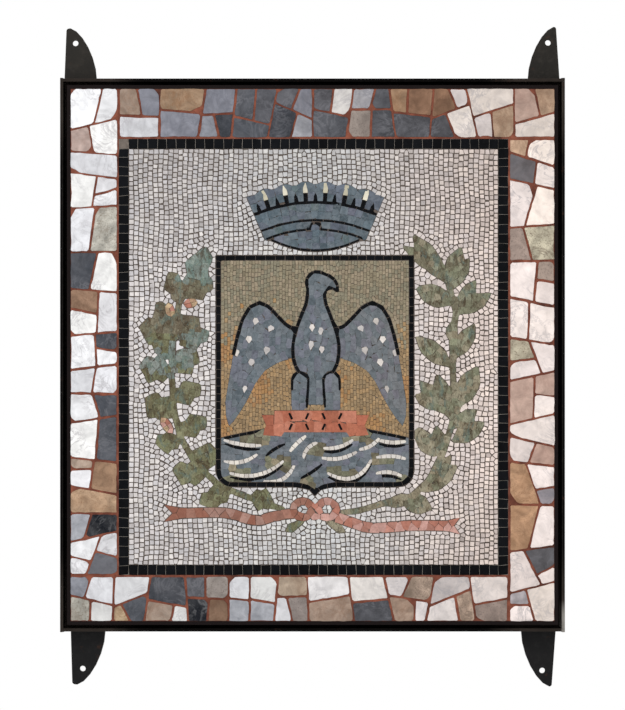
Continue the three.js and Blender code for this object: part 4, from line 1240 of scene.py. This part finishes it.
def add_weld(name, start, end, radius, rng):
    """A weld bead: a rippled, rounded ridge along a line"""
    start, end = np.array(start), np.array(end)
    length = np.linalg.norm(end - start)
    along = (end - start) / length
    side = np.cross(along, (0, 0, 1)) if abs(along[2]) < 0.9 else np.array([1.0, 0, 0])
    up = np.cross(side, along)
    rings = max(6, int(length / RING_STEP))
    points, faces = [], []
    for i in range(rings + 1):
        t = i / rings
        blunt = min(1, 6 * t + 0.25, 6 * (1 - t) + 0.25)
        ripple = 0.8 + 0.2 * abs(math.sin(math.pi * t * length / RIPPLE)) + rng.normal(0, 0.03)
        size = radius * blunt * ripple
        drift = rng.normal(0, WANDER, 2)
        for k in range(AROUND):
            turn = 2 * math.pi * k / AROUND
            spread = side * math.cos(turn) + up * math.sin(turn)
            point = start + along * length * t + spread * size + side * drift[0] + up * drift[1]
            points.append(tuple(point))
    for i in range(rings):
        for k in range(AROUND):
            a, b = i * AROUND + k, i * AROUND + (k + 1) % AROUND
            faces.append((a, b, b + AROUND, a + AROUND))
    faces.append([*reversed(range(AROUND))])
    faces.append([rings * AROUND + k for k in range(AROUND)])
    mesh = new_mesh(name, points, faces, WELD_STEEL)
    mesh.polygons.foreach_set("use_smooth", [True] * len(mesh.polygons))
    add_piece(mesh)


rng = np.random.default_rng(401)
for side in ("left", "right", "top", "bottom"):
    add_rounded(f"frame_{side}", f"bar_{side}", BAR_ROUNDING, BAR_STEEL)
for end, sign, steel in (("top", 1, LUG_STEEL), ("bottom", -1, DARK_LUG_STEEL)):
    bar_low, bar_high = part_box(f"frame_{end}")
    edge = bar_high.z if sign > 0 else bar_low.z
    for side, x in (("left", bar_low.x), ("right", bar_high.x)):
        node = f"lug_{end}_{side}"
        add_rounded(node, f"steel_{node}", LUG_ROUNDING, steel)
        low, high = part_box(node)
        z, y = edge + sign * WELD_LIFT, -STEEL - WELD_LIFT
        add_weld(f"weld_{node}", (low.x + 2 * MM, y, z), (high.x - 2 * MM, y, z),
                 LUG_WELD, rng)
        add_weld(f"weld_corner_{end}_{side}", (x, bar_low.y + 3 * MM, edge),
                 (x, -STEEL - 4 * MM, edge), CORNER_WELD, rng)


# ---- Floor, light and camera ----

FLOOR_DROP = 0.30  # the panel hangs this far above the floor
FLOOR_REACH = 1.4
CAMERA_DISTANCE = 4.2
VIEW_HEIGHT = 1.4626  # what the camera sees of the panel's plane
SENSOR = 36.0
KEY_PLACE, KEY_SIZE, KEY_WATTS = (-1.8, -2.2, 2.0), 1.2, 30  # the lamp


def add_floor():
    r, z = FLOOR_REACH, cad_bounds[0][2] - FLOOR_DROP
    s = Shader("floor_paint", 0.8, 0.1)
    cloud = s.ramp(s.noise(s.place(), 3.0, 3.0), 0.3, 0.7)
    grey = s.finish(s.mix(cloud, (0.80, 0.80, 0.80, 1), (0.84, 0.84, 0.83, 1)))
    corners = [(-r, -r, z), (r, -r, z), (r, r, z), (-r, r, z)]
    floor = linked("floor", new_mesh("floor", corners, [(0, 1, 2, 3)], grey))


def add_key_light():
    """A square lamp that points at the middle of the panel"""
    lamp = bpy.data.lights.new("key", "AREA")
    lamp.energy, lamp.size = KEY_WATTS, KEY_SIZE
    light = linked("key", lamp)
    light.location = x, y, z = KEY_PLACE
    light.rotation_euler = (math.atan2(math.hypot(x, y), z), 0, math.atan2(x, -y))


def add_camera():
    data = bpy.data.cameras.new("camera")
    data.sensor_fit, data.sensor_height, data.sensor_width = "AUTO", SENSOR, SENSOR
    data.lens = SENSOR * CAMERA_DISTANCE / VIEW_HEIGHT
    camera = linked("camera", data)
    camera.location = (0, FACE - CAMERA_DISTANCE, 0)
    camera.rotation_euler = (math.pi / 2, 0, 0)
    bpy.context.scene.camera = camera


def add_world():
    world = bpy.data.worlds.new("studio")
    world.use_nodes = True
    background = world.node_tree.nodes["Background"]
    background.inputs["Color"].default_value = (1, 1, 1, 1)
    background.inputs["Strength"].default_value = 1.0
    bpy.context.scene.world = world
    bpy.context.scene.view_settings.view_transform = "Standard"


add_floor()
add_world()
add_key_light()
add_camera()
